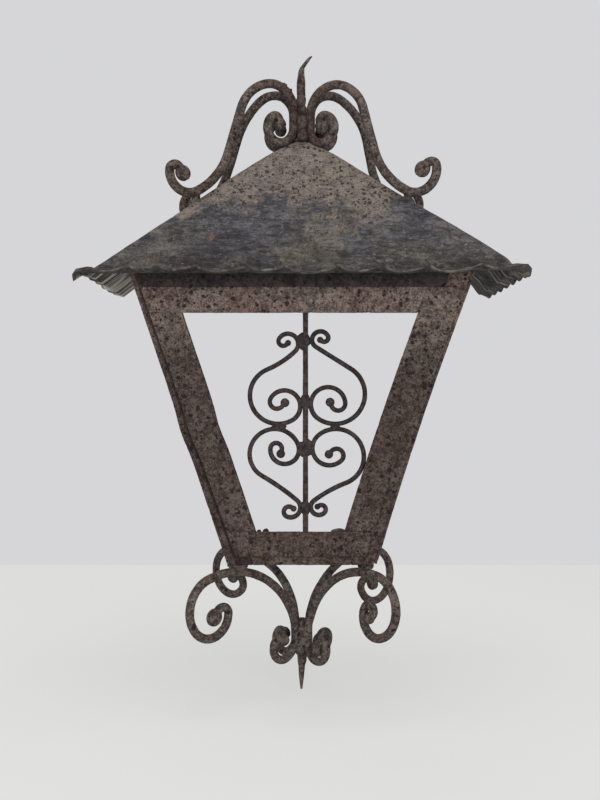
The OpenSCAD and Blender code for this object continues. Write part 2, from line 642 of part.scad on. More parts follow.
lock_nut_h = 4;
holder_top = middle_z - lock_nut_h;
module threaded_tube() {
    low = holder_top - 8;
    color("#b59a4a") translate([0, -stem_y, low]) difference() {
        cylinder(h = middle_z + bracket_t + lock_nut_h + 3 - low, d = tube_d, $fn = 48);
        translate([0, 0, -1]) cylinder(h = 60, d = tube_bore, $fn = 48);
    }
}

module lock_nut(z) {
    color("#b59a4a") translate([0, -stem_y, z]) difference() {
        cylinder(h = lock_nut_h, d = tube_d * 1.7, $fn = 6);
        translate([0, 0, -1]) cylinder(h = lock_nut_h + 2, d = tube_d + 2 * seat, $fn = 48);
    }
}
module upper_lock_nut() { lock_nut(middle_z + bracket_t); }
module lower_lock_nut() { lock_nut(middle_z - lock_nut_h); }

shell_t = 0.8;
shell_gap = 0.2;
module lampholder_body() {
    r = holder_d / 2;
    pocket = shell_bore / 2 + shell_t + shell_gap;
    color("#e8e4da") translate([0, -stem_y, holder_top - holder_h]) rotate_extrude($fn = 96)
        polygon([[pocket, 0], [r - 1.5, 0], [r, 1.5], [r, holder_h * 0.62], [r * 0.72, holder_h - 6],
            [r * 0.72, holder_h], [tube_d / 2 + seat, holder_h], [tube_d / 2 + seat, holder_h - 12],
            [pocket, holder_h - 12]]);
}

module screw_shell() {
    color("#b59a4a") translate([0, -stem_y, holder_top - holder_h + 4]) difference() {
        cylinder(h = shell_h, d = shell_bore + 2 * shell_t, $fn = 96);
        translate([0, 0, -1]) cylinder(h = shell_h + 2, d = shell_bore, $fn = 96);
    }
}

// Base plate and spring tongue of the lamp's middle contact, past the shell's inner end
contact_gap = 0.4;
tongue_t = 1.2;
module centre_contact() {
    z = holder_top - holder_h + 4 + shell_h + contact_gap;
    color("#b59a4a") translate([0, -stem_y, z]) {
        translate([0, 0, tongue_t]) cylinder(h = 2, d = shell_bore + 2 * shell_t, $fn = 48);
        translate([-2.5, -7, 0]) cube([5, 12, tongue_t]);
    }
}

roof();
top_spike();
spike_foot();
spike_nut();
top_arm(left_front_top_path, left_top_z, 180 + top_arm_angle);  // top_arm_front_left
top_arm(right_front_top_path, right_top_z, -top_arm_angle);  // top_arm_front_right
top_arm(left_rear_top_path, left_top_z, 180 - top_arm_angle);  // top_arm_rear_left
top_arm(right_rear_top_path, right_top_z, top_arm_angle);  // top_arm_rear_right
post(-1, leg_face, 1);  // post_front_left
post(1, leg_face, 1);  // post_front_right
post(-1, side_rear, -1);  // post_rear_left
post(1, side_rear, -1);  // post_rear_right
top_bar_front();
top_bar_side(-1);  // top_bar_left
top_bar_side(1);  // top_bar_right
bottom_bar_front();
bottom_bar_side(-1);  // bottom_bar_left
bottom_bar_side(1);  // bottom_bar_right
bottom_bar_rear();
front_stile_left();
front_stile_right();
front_rail_top();
front_rail_bottom();
side_stile_front(-1);  // left_stile_front
side_stile_rear(-1);  // left_stile_rear
side_rail_top(-1);  // left_rail_top
side_rail_bottom(-1);  // left_rail_bottom
side_stile_front(1);  // right_stile_front
side_stile_rear(1);  // right_stile_rear
side_rail_top(1);  // right_rail_top
side_rail_bottom(1);  // right_rail_bottom
front_grille_bar();
front_scroll(upper_left_scroll, upper_left_heading, upper_scroll_h - scroll_uneven, -1, 1, small_first);  // front_scroll_upper_left
front_scroll(upper_right_scroll, upper_right_heading, upper_scroll_h + scroll_uneven, 1, 1, small_first);  // front_scroll_upper_right
front_scroll(lower_left_scroll, lower_left_heading, lower_scroll_h + scroll_uneven, -1, -1, big_first);  // front_scroll_lower_left
front_scroll(lower_right_scroll, lower_right_heading, lower_scroll_h - scroll_uneven, 1, -1, big_first);  // front_scroll_lower_right
side_grille_bar(-1);  // left_grille_bar
side_scrolls_upper(-1);  // left_scrolls_upper
side_scrolls_lower(-1);  // left_scrolls_lower
side_grille_bar(1);  // right_grille_bar
side_scrolls_upper(1);  // right_scrolls_upper
side_scrolls_lower(1);  // right_scrolls_lower
glass_clips();
wall_strap();
strap_rivets();
bottom_arm(left_front_bottom_path, left_low_z, 180 + left_arm_angle);  // bottom_arm_front_left
bottom_arm(right_front_bottom_path, right_low_z, -right_arm_angle);  // bottom_arm_front_right
bottom_arm(left_rear_bottom_path, left_low_z, 180 - rear_arm_angle);  // bottom_arm_rear_left
bottom_arm(right_rear_bottom_path, right_low_z, rear_arm_angle);  // bottom_arm_rear_right
bottom_spike();
lamp_bracket();
threaded_tube();
upper_lock_nut();
lower_lock_nut();
lampholder_body();
screw_shell();
centre_contact();
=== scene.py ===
"""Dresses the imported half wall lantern: forged bars, ruffled roof sheet, pitted flat strips and lampholder.

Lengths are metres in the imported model's frame: +Z up, the wall is the plane Y = 0 and the front faces -Y.
"""

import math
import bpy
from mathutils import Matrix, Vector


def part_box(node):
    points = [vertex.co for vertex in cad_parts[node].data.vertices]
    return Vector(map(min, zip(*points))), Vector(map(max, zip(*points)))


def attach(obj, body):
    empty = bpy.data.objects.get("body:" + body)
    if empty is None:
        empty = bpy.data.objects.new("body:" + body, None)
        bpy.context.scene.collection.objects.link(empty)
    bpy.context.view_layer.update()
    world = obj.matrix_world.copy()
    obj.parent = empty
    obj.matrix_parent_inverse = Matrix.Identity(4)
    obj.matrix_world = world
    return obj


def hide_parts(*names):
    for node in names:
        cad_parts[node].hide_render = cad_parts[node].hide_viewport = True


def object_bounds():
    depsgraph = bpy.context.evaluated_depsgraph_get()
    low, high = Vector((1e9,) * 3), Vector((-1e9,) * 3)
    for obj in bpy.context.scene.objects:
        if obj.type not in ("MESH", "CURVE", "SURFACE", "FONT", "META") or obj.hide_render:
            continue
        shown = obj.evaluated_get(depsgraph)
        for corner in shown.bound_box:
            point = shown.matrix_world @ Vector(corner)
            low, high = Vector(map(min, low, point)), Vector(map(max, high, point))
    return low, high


bl_info = {
    "name": "Wrought iron wall lantern",
    "version": (1, 0, 0),
    "blender": (4, 5, 0),
    "location": "3D View > Sidebar > Lantern",
    "description": "Builds the dressed pieces of a wrought iron wall lantern around its packed solids",
    "category": "Add Mesh",
}

import bmesh
import bpy
import numpy as np
from bpy.props import FloatProperty, FloatVectorProperty, IntProperty, PointerProperty

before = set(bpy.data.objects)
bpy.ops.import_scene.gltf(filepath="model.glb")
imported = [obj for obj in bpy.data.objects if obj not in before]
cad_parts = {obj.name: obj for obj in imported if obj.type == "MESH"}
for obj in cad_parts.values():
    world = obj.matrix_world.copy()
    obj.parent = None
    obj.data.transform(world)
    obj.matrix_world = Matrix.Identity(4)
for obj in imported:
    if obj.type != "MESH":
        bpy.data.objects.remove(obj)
cad_low, cad_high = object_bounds()

MM = 0.001


def corners(node):
    """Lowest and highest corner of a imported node, as arrays."""
    low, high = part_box(node)
    return np.array(low), np.array(high)


def linear(red, green, blue):
    """Scene-linear colour of an sRGB colour written from 0 to 255."""
    c = np.array([red, green, blue]) / 255
    out = np.where(c <= 0.04045, c / 12.92, ((c + 0.055) / 1.055) ** 2.4)
    return tuple(float(v) for v in out)


def length(name, words, default, low=0.0, high=1.0):
    return FloatProperty(name=name, description=words, default=default, min=low, max=high, unit="LENGTH")


def colour(name, words, rgb):
    return FloatVectorProperty(name=name, description=words, default=linear(*rgb), subtype="COLOR", size=3,
                               min=0.0, max=1.0)


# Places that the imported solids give
STRAP_LOW, STRAP_HIGH = corners("wall_strap")
ROOF_LOW, ROOF_HIGH = corners("roof")
BAR_LOW, BAR_HIGH = corners("bottom_bar_front")
RAIL_LOW, RAIL_HIGH = corners("front_rail_top")
SILL_LOW, SILL_HIGH = corners("front_rail_bottom")
POST_LOW, POST_HIGH = corners("post_front_left")
SPIKE_LOW, SPIKE_HIGH = corners("bottom_spike")
BODY_BOTTOM = float(BAR_LOW[2])
PANEL_TOP = float(RAIL_HIGH[2])
LEG_FACE = float(-POST_LOW[1])
STEM_Y = float(-(SPIKE_LOW[1] + SPIKE_HIGH[1]) / 2)


class RoofSizes(bpy.types.PropertyGroup):
    width: length("Width", "Width between the fold lines of the side edges", 350 * MM)
    depth: length("Depth", "Wall to the fold line of the front edge", 176 * MM)
    height: length("Height", "Fold lines to the peak where the slopes would meet", 136 * MM)
    fold_z: length("Fold height", "Height of the fold lines above the wall screws", -1 * MM, -0.1)
    ridge_drop: length("Ridge drop", "How far the rounded ridge falls short of the peak", 8.5 * MM)
    sheet: length("Sheet", "Thickness of the roof sheet", 1.5 * MM)
    side_edge: length("Side edge", "Width of the ruffled edge at the sides", 9 * MM)
    front_edge: length("Front edge", "Width of the ruffled edge at the front", 12 * MM)
    front_wave: length("Front ruffle", "Height of a front ruffle", 5.7 * MM)
    side_wave: length("Side ruffle", "Height of a side ruffle", 2.6 * MM)
    hip_rise: length("Right hip bulge", "How far the right hip stands up near its lower end", 6.4 * MM)
    dent: length("Dents", "Depth of the dents in the slopes", 0.8 * MM)


class BodySizes(bpy.types.PropertyGroup):
    top_width: length("Top width", "Width at the top edge of the front strips", 284 * MM)
    bottom_width: length("Bottom width", "Width at the bottom", 126 * MM)
    post_leg: length("Post leg", "Leg of the angle iron posts", 18 * MM)
    post_sheet: length("Post thickness", "Thickness of the angle iron", 2.5 * MM)
    strip_sheet: length("Strip thickness", "Thickness of the flat strips", 2.5 * MM)
    left_stile: length("Left upright", "Width of the left front upright at its top", 28 * MM)
    right_stile: length("Right upright", "Width of the right front upright", 25 * MM)
    side_stile: length("Side upright", "Width of the uprights on the sides", 20 * MM)
    top_rail: length("Top strip", "Width of the top strips", 22 * MM)
    bottom_rail: length("Bottom strip", "Width of the bottom strips", 21 * MM)
    left_margin: length("Left margin", "Post edge left showing beside the left strip at its top", 5.5 * MM)
    left_margin_low: length("Low left margin", "The same at the strip's bottom", 9.5 * MM)
    right_margin: length("Right margin", "Post edge left showing beside the right strip", 11 * MM)
    bow: length("Right bow", "How far the right side is bent in half way up", 2.6 * MM)
    pit_depth: length("Pit depth", "Depth of the corrosion pits", 0.7 * MM)
    pit_gap: length("Pit spacing", "Distance between corrosion pits", 3.5 * MM)


class ForgeSizes(bpy.types.PropertyGroup):
    top_bar: length("Top arm bar", "Diameter of the top arms' bar", 8 * MM)
    low_bar: length("Bottom arm bar", "Diameter of the bottom arms' bar", 7.4 * MM)
    wire: length("Scroll wire", "Diameter of the grille scrolls' wire", 4.1 * MM)
    grille_bar: length("Grille bar", "Side of the grilles' square bar", 4.6 * MM)
    sides: IntProperty(name="Sides", description="Sides of a round bar", default=20, min=8, max=48)


class FinishColours(bpy.types.PropertyGroup):
    strip: colour("Strip", "Brown grey of the flat strips", (90, 78, 73))
    strip_light: colour("Strip light", "Tan patches on the strips", (120, 107, 98))
    strip_rust: colour("Strip rust", "Reddish patches on the strips", (86, 66, 61))
    bar: colour("Bar", "Dark brown of the forged bars", (68, 60, 56))
    bar_light: colour("Bar light", "Rubbed places of the forged bars", (102, 93, 87))
    bar_rust: colour("Bar rust", "Rust on the forged bars", (76, 58, 53))
    wire: colour("Wire", "Dark oxide of the grilles' wire and bars", (46, 41, 40))
    roof_tan: colour("Roof tan", "Tan of the roof near its top", (114, 104, 97))
    roof_grey: colour("Roof grey", "Tan grey of the roof half way", (90, 84, 79))
    roof_blue: colour("Roof blue", "Blue grey of the roof's lower part", (70, 69, 73))
    # Also the colour of painted shade: roof creases, the side faces of the bars and the gap beside the front left
    # post
    pit: colour("Pits", "Bottoms of the corrosion pits", (42, 26, 24))
    # Sooty iron darkened further as painted shade under the eave
    soot_and_shade: colour("Soot", "Bar between the strips and the roof", (52, 46, 47))
    brass: colour("Brass", "Tarnished brass of the lampholder", (158, 128, 72))
    glaze: colour("Glaze", "White glaze of the lampholder", (226, 222, 210))
    wall: colour("Backdrop", "Pale backdrop", (214, 214, 216))
    floor: colour("Floor", "Pale floor", (208, 208, 206))


# Noise


def lattice(cell, seed):
    """Random value from 0 to 1 for each whole-number place: its three numbers are mixed into one hash."""
    mask = 0xFFFFFFFF
    h = (cell[..., 0] * 374761393 + cell[..., 1] * 668265263 + cell[..., 2] * 1274126177 + seed * 974634777) & mask
    h = ((h ^ (h >> 13)) * 1274126177) & mask
    h = ((h ^ (h >> 15)) * 668265263) & mask
    return (h ^ (h >> 16)) / mask


def clouds(p, size, seed):
    """Smooth noise from -1 to 1: lattice values one size apart, blended by 3t^2 - 2t^3 along each axis."""
    q = p / size
    cell = np.floor(q).astype(np.int64)
    t = q - cell
    t = t * t * (3 - 2 * t)
    total = np.zeros(p.shape[:-1])
    for step in np.ndindex(2, 2, 2):
        weight = np.prod(np.where(np.array(step) == 1, t, 1 - t), axis=-1)
        total += weight * lattice(cell + np.array(step), seed)
    return 2 * total - 1


def pits(p, gap, share, seed):
    """Depth of pits, 0 to 1. Each lattice cell holds one pit with a random centre, and the deepest bowl
    1 - (distance / radius)^2 of the 27 cells around a point counts. share is how many cells hold a pit."""
    q = p / gap
    q = q + 0.18 * np.stack([clouds(p + k, gap * 0.45, seed + 7 + k) for k in range(3)], axis=-1)
    cell = np.floor(q).astype(np.int64)
    depth = np.zeros(p.shape[:-1])
    for step in np.ndindex(3, 3, 3):
        near = cell + np.array(step) - 1
        centre = near + np.stack([lattice(near, seed + k) for k in (1, 2, 3)], axis=-1)
        radius = 0.18 + 0.3 * lattice(near, seed + 4) ** 2
        bowl = 1 - np.sum((q - centre) ** 2, axis=-1) / radius**2
        depth = np.maximum(depth, np.where(lattice(near, seed + 5) < share, bowl, 0))
    return depth


# Meshes


def rings_to_faces(rows, columns, start=0):
    """Quads between closed rings of points, each ring being one row, with a many-sided face at both ends."""
    row = np.arange(rows - 1)[:, None] * columns + start
    here = np.arange(columns)[None, :]
    after = (here + 1) % columns
    quads = np.stack([row + here, row + after, row + columns + after, row + columns + here], axis=-1)
    first = list(range(start + columns - 1, start - 1, -1))
    last = list(range(start + (rows - 1) * columns, start + rows * columns))
    return quads.reshape(-1, 4).tolist() + [first, last]


def piece(name, points, faces, finish, nodes=(), pit=None, wear_and_light=None):
    """Makes one piece from points and faces; at each point pit darkens it, for pits, residue and painted shade, and
    wear_and_light lightens it, for bare iron and painted light, both 0 to 1.
    """
    mesh = bpy.data.meshes.new(name)
    mesh.from_pydata(np.asarray(points, float).reshape(-1, 3).tolist(), [], faces)
    for key, values in (("pit", pit), ("wear_and_light", wear_and_light)):
        if values is not None:
            layer = mesh.attributes.new(key, "FLOAT", "POINT")
            layer.data.foreach_set("value", np.ascontiguousarray(values, dtype=np.float32).ravel())
    mesh.polygons.foreach_set("use_smooth", [True] * len(mesh.polygons))
    mesh.validate()
    mesh.update()
    obj = bpy.data.objects.new(name, mesh)
    bpy.context.scene.collection.objects.link(obj)
    obj.data.materials.append(finish)
    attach(obj, "root")
    if nodes:
        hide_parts(*nodes)
    return obj


def weld(obj, distance=0.02 * MM):
    """Merges points that lie on each other, such as the two sides of a ridge."""
    bm = bmesh.new()
    bm.from_mesh(obj.data)
    bmesh.ops.remove_doubles(bm, verts=bm.verts, dist=distance)
    bmesh.ops.recalc_face_normals(bm, faces=bm.faces)
    bm.to_mesh(obj.data)
    bm.free()


def copied(node, finish, bevel=0.4 * MM):
    """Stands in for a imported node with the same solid, its coplanar faces joined and its edges rounded."""
    bm = bmesh.new()
    bm.from_mesh(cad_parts[node].data)
    bmesh.ops.remove_doubles(bm, verts=bm.verts, dist=0.01 * MM)
    bmesh.ops.dissolve_limit(bm, angle_limit=math.radians(1), verts=bm.verts, edges=bm.edges)
    mesh = bpy.data.meshes.new("dressed_" + node)
    bm.to_mesh(mesh)
    bm.free()
    obj = bpy.data.objects.new("dressed_" + node, mesh)
    bpy.context.scene.collection.objects.link(obj)
    mesh.materials.clear()
    mesh.materials.append(finish)
    round_off = obj.modifiers.new("edges", "BEVEL")
    round_off.width = bevel
    round_off.segments = 2
    round_off.limit_method = "ANGLE"
    round_off.harden_normals = True
    mesh.polygons.foreach_set("use_smooth", [True] * len(mesh.polygons))
    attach(obj, "root")
    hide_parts(node)
    return obj


def outline(width, depth, step, rounding):
    """Rounded rectangle round a flat bar: rows of place across, depth below its face, and outward direction.

    It goes along the face, down the far edge, back along the rear and up the near edge."""
    flat = np.linspace(rounding, width - rounding, max(3, int(width / step)))
    down = np.linspace(rounding, depth - rounding, 3)
    half = rounding * (1 - math.sqrt(0.5))
    rows = [(a, 0, 0, -1) for a in flat]
    rows += [(width - half, half, 0.7, -0.7)] + [(width, d, 1, 0) for d in down]
    rows += [(width - half, depth - half, 0.7, 0.7)]
    rows += [(a, depth, 0, 1) for a in flat[::-1]]
    rows += [(half, depth - half, -0.7, 0.7)] + [(0, d, -1, 0) for d in down[::-1]] + [(half, half, -0.7, -0.7)]
    return np.array(rows)


def drawn(first, last, outs, step, rounding):
    """Rings of a straight bar whose section changes evenly from one end to the other.

    The first and last ring are drawn in by the rounding, so the ends are closed by small flat faces."""
    span = np.linalg.norm(last - first, axis=-1).mean()
    count = max(2, int(span / step))
    share = np.concatenate([[0], np.linspace(rounding / span, 1 - rounding / span, count), [1]])[:, None, None]
    rings = first[None] * (1 - share) + last[None] * share
    rings[0] -= outs * rounding
    rings[-1] -= outs * rounding
    return rings


def weathered(rings, outs, depth, gap, seed, swell=0.25 * MM):
    """Pitted and slightly uneven surface: points go in by the pits' depth and out or in by smooth noise."""
    hole = pits(rings, gap, 0.62, seed)
    uneven = clouds(rings, 14 * MM, seed + 31) * 0.6 + clouds(rings, 4 * MM, seed + 32) * 0.4
    return rings + outs * (uneven * swell - hole * depth)[..., None], hole


def bent(points):
    """Moves the body's right side inwards and a short stretch of its left side outwards, as both are out of
    true: the bow is a sine over the height, the bulge a bell of exp(-t^2), both fading towards the middle."""
    body = bpy.context.scene.lantern_body
    x, z = points[..., 0], points[..., 2]
    share = np.clip((z - BODY_BOTTOM) / (PANEL_TOP - BODY_BOTTOM), 0, 1)
    right = smooth_step(x / (40 * MM))
    left = smooth_step(-x / (40 * MM))
    shift = -body.bow * np.sin(np.pi * share) * right
    shift = shift - 1.8 * MM * np.exp(-(((z + 132 * MM) / (16 * MM)) ** 2)) * left
    out = points.copy()
    out[..., 0] += shift
    return out


def flat_bar(name, quad, inward, depth, finish, nodes, seed, step=0.9 * MM, edge=0.6 * MM, pit=None, gap=None):
    """Flat bar from the four corners of its face, given as start near, start far, end near and end far."""
    body = bpy.context.scene.lantern_body
    near0, far0, near1, far1 = [np.array(c, float) for c in quad]
    inward = np.array(inward, float) / np.linalg.norm(inward)
    section = outline(np.linalg.norm(far0 - near0), depth, step, edge)
    across = section[:, :1] / np.linalg.norm(far0 - near0)
    deep = section[:, 1:2] * inward
    side = (far0 - near0) / np.linalg.norm(far0 - near0)
    outs = section[:, 2:3] * side + section[:, 3:4] * inward
    first = near0 + across * (far0 - near0) + deep
    last = near1 + across * (far1 - near1) + deep
    rings = drawn(first, last, outs, step, edge)
    depth_of_pits = body.pit_depth if pit is None else pit
    rings, hole = weathered(rings, outs, depth_of_pits, gap or body.pit_gap, seed)
    faces = rings_to_faces(len(rings), rings.shape[1])
    side = np.abs(section[:, 2])
    edges = np.where((side > 0.5) & (side < 0.9) & (section[:, 3] < 0), 0.65, 0.0)
    # Painted shade on the side faces, standing in for the shadow along the bars' edges
    hole = np.maximum(hole, np.where(side > 0.9, 0.3, 0.0)[None])
    return oriented(name, bent(rings), faces, finish, nodes, hole, np.broadcast_to(edges, hole.shape))


def oriented(name, rings, faces, finish, nodes, hole, wear_and_light=None):
    """Makes a piece and turns its faces outwards where the volume they enclose comes out negative."""
    flat = rings.reshape(-1, 3)
    tri = np.array([f[:3] for f in faces] + [[f[0], f[2], f[3]] for f in faces if len(f) == 4])
    a, b, c = flat[tri[:, 0]], flat[tri[:, 1]], flat[tri[:, 2]]
    if np.sum(a * np.cross(b, c)) < 0:
        faces = [f[::-1] for f in faces]
    return piece(name, flat, faces, finish, nodes, hole, wear_and_light)


def arc_run(start, arcs, step):
    """Places along a bent bar: rows of x, y and heading in degrees. A positive turn bends to the left."""
    rows = []
    x, y, heading = start
    for turn, size in arcs:
        span = size if turn == 0 else abs(math.radians(turn)) * size
        share = np.arange(1, max(2, int(span / step)) + 1) / max(2, int(span / step))
        h = heading + turn * share
        if turn == 0:
            xs = x + size * share * math.cos(math.radians(heading))
            ys = y + size * share * math.sin(math.radians(heading))
        else:
            s = math.copysign(size, turn)
            xs = x + s * (np.sin(np.radians(h)) - math.sin(math.radians(heading)))
            ys = y - s * (np.cos(np.radians(h)) - math.cos(math.radians(heading)))
        rows.append(np.stack([xs, ys, h], axis=-1))
        x, y, heading = rows[-1][-1]
    return np.concatenate(rows)


def turned(path):
    """The same bar followed from its other end."""
    back = path[::-1].copy()
    back[:, 2] += 180
    return back


def eye_rings(end, bar, eye, count=12):
    """Rings of the rolled eye past a bar's end: a flattened ball that the bar runs into."""
    back = eye * math.sqrt(max(0.0, 1 - min(1.0, bar / eye) ** 2))
    a = np.radians(np.linspace(-38, 86, count))
    d = back + eye * np.sin(a)
    h = math.radians(end[2])
    across = np.minimum(eye, bar * 1.12) * np.cos(a) ** 0.6
    keep = eye * np.cos(a) >= bar * 0.2
    rows = np.stack([end[0] + d * math.cos(h), end[1] + d * math.sin(h), np.full(count, end[2]),
                     eye * np.cos(a), across], axis=-1)
    return rows[keep]


def forged_rings(path, bar, first_eye, last_eye):
    """Rows of x, y, heading, radius in the plane and radius across it for a bar with an eye at each end."""
    ahead = eye_rings(path[-1], bar, last_eye)
    behind = eye_rings(turned(path[:1])[0], bar, first_eye)[::-1].copy()
    behind[:, 2] += 180
    even = np.concatenate([path, np.full((len(path), 2), bar)], axis=1)
    return np.concatenate([behind, even, ahead])


def swept(name, rows, place, finish, nodes, seed, sides, rough=1.0, gap=3.4 * MM):
    """Sweeps an ellipse along rows in a plane; place turns plane coordinates into the lantern's frame."""
    a = 2 * math.pi * (np.arange(sides) + 0.5) / sides
    h = np.radians(rows[:, 2])[:, None]
    along = rows[:, 3:4] * np.cos(a)
    plane = np.stack([rows[:, :1] - along * np.sin(h), rows[:, 1:2] + along * np.cos(h),
                      rows[:, 4:5] * np.sin(a)], axis=-1)
    centre = np.stack([rows[:, 0], rows[:, 1], np.zeros(len(rows))], axis=-1)[:, None]
    points = place(plane)
    outs = points - place(np.broadcast_to(centre, plane.shape).copy())
    outs = outs / np.maximum(np.linalg.norm(outs, axis=-1, keepdims=True), 1e-9)
    hole = pits(points, gap, 0.5, seed)
    uneven = clouds(points, 9 * MM, seed + 3) * 0.55 + clouds(points, 2.6 * MM, seed + 4) * 0.25
    points = points + outs * (rough * (0.32 * MM * uneven - 0.3 * MM * hole))[..., None]
    points[..., 1] = np.maximum(points[..., 1], cad_low[1] + 0.02 * MM)
    hole = np.maximum(hole * 0.8, hub_darkening(points))
    return oriented(name, points, rings_to_faces(len(rows), sides), finish, nodes, hole)


def hub_darkening(points):
    """Darkening at the upper hub: 0.5 within 13 mm of the stem's axis, none beyond 27 mm or above the arms."""
    away = np.hypot(points[..., 0], points[..., 1] + STEM_Y)
    near = smooth_step((27 * MM - away) / (14 * MM)) * smooth_step((190 * MM - points[..., 2]) / (30 * MM))
    return 0.5 * near * (points[..., 2] > 100 * MM)


def upright_plane(angle, low):
    """Plane through the stem's axis: its x goes out at an angle, its y goes up from a height."""
    c, s = math.cos(math.radians(angle)), math.sin(math.radians(angle))
    axes = np.array([[c, s, 0], [0, 0, 1], [s, -c, 0]])
    return lambda p: p @ axes + np.array([0, -STEM_Y, low])


def blob(name, centre, size, finish, seed, turn=0.0, lump=0.22):
    """Weld bead: an ellipsoid on a grid of two angles, pushed in and out by smooth noise."""
    rows, columns = 15, 22
    down = np.linspace(0.04, math.pi - 0.04, rows)[:, None]
    around = np.linspace(0, 2 * math.pi, columns, endpoint=False)[None]
    ball = np.stack([np.sin(down) * np.cos(around), np.sin(down) * np.sin(around),
                     np.cos(down) * np.ones_like(around)], axis=-1)
    size = np.array(size) / 2
    grain = size.mean()
    rough = 1 + lump * clouds(ball * size + np.array(centre), grain, seed)
    rough = rough + lump * 0.5 * clouds(ball * size + np.array(centre), grain * 0.4, seed + 1)
    points = ball * size * rough[..., None]
    c, s = math.cos(math.radians(turn)), math.sin(math.radians(turn))
    points = points @ np.array([[c, 0, s], [0, 1, 0], [-s, 0, c]]) + np.array(centre)
    hole = np.maximum(np.clip(0.4 - rough, 0, 1), hub_darkening(points))
    return oriented(name, points, rings_to_faces(rows, columns), finish, (), hole)


def lathe(name, profile, centre, finish, nodes, segments=96, bend=None):
    """Turns a closed outline of radius and height pairs round an upright axis; bend may move its points."""
    profile = np.array(profile, float)
    a = np.linspace(0, 2 * math.pi, segments, endpoint=False)[:, None]
    ring = np.stack([profile[:, 0] * np.cos(a), profile[:, 0] * np.sin(a),
                     np.broadcast_to(profile[:, 1], (segments, len(profile)))], axis=-1)
    if bend is not None:
        ring = bend(ring, a)
    count = len(profile)
    row = np.arange(segments)[:, None]
    here = np.arange(count)[None]
    after, round_on = (here + 1) % count, (row + 1) % segments
    quads = np.stack([row * count + here, round_on * count + here, round_on * count + after,
                      row * count + after], axis=-1).reshape(-1, 4).tolist()
    points = ring + np.array(centre)
    return oriented(name, points, quads, finish, nodes, np.zeros(points.shape[:2]))


# Finishes


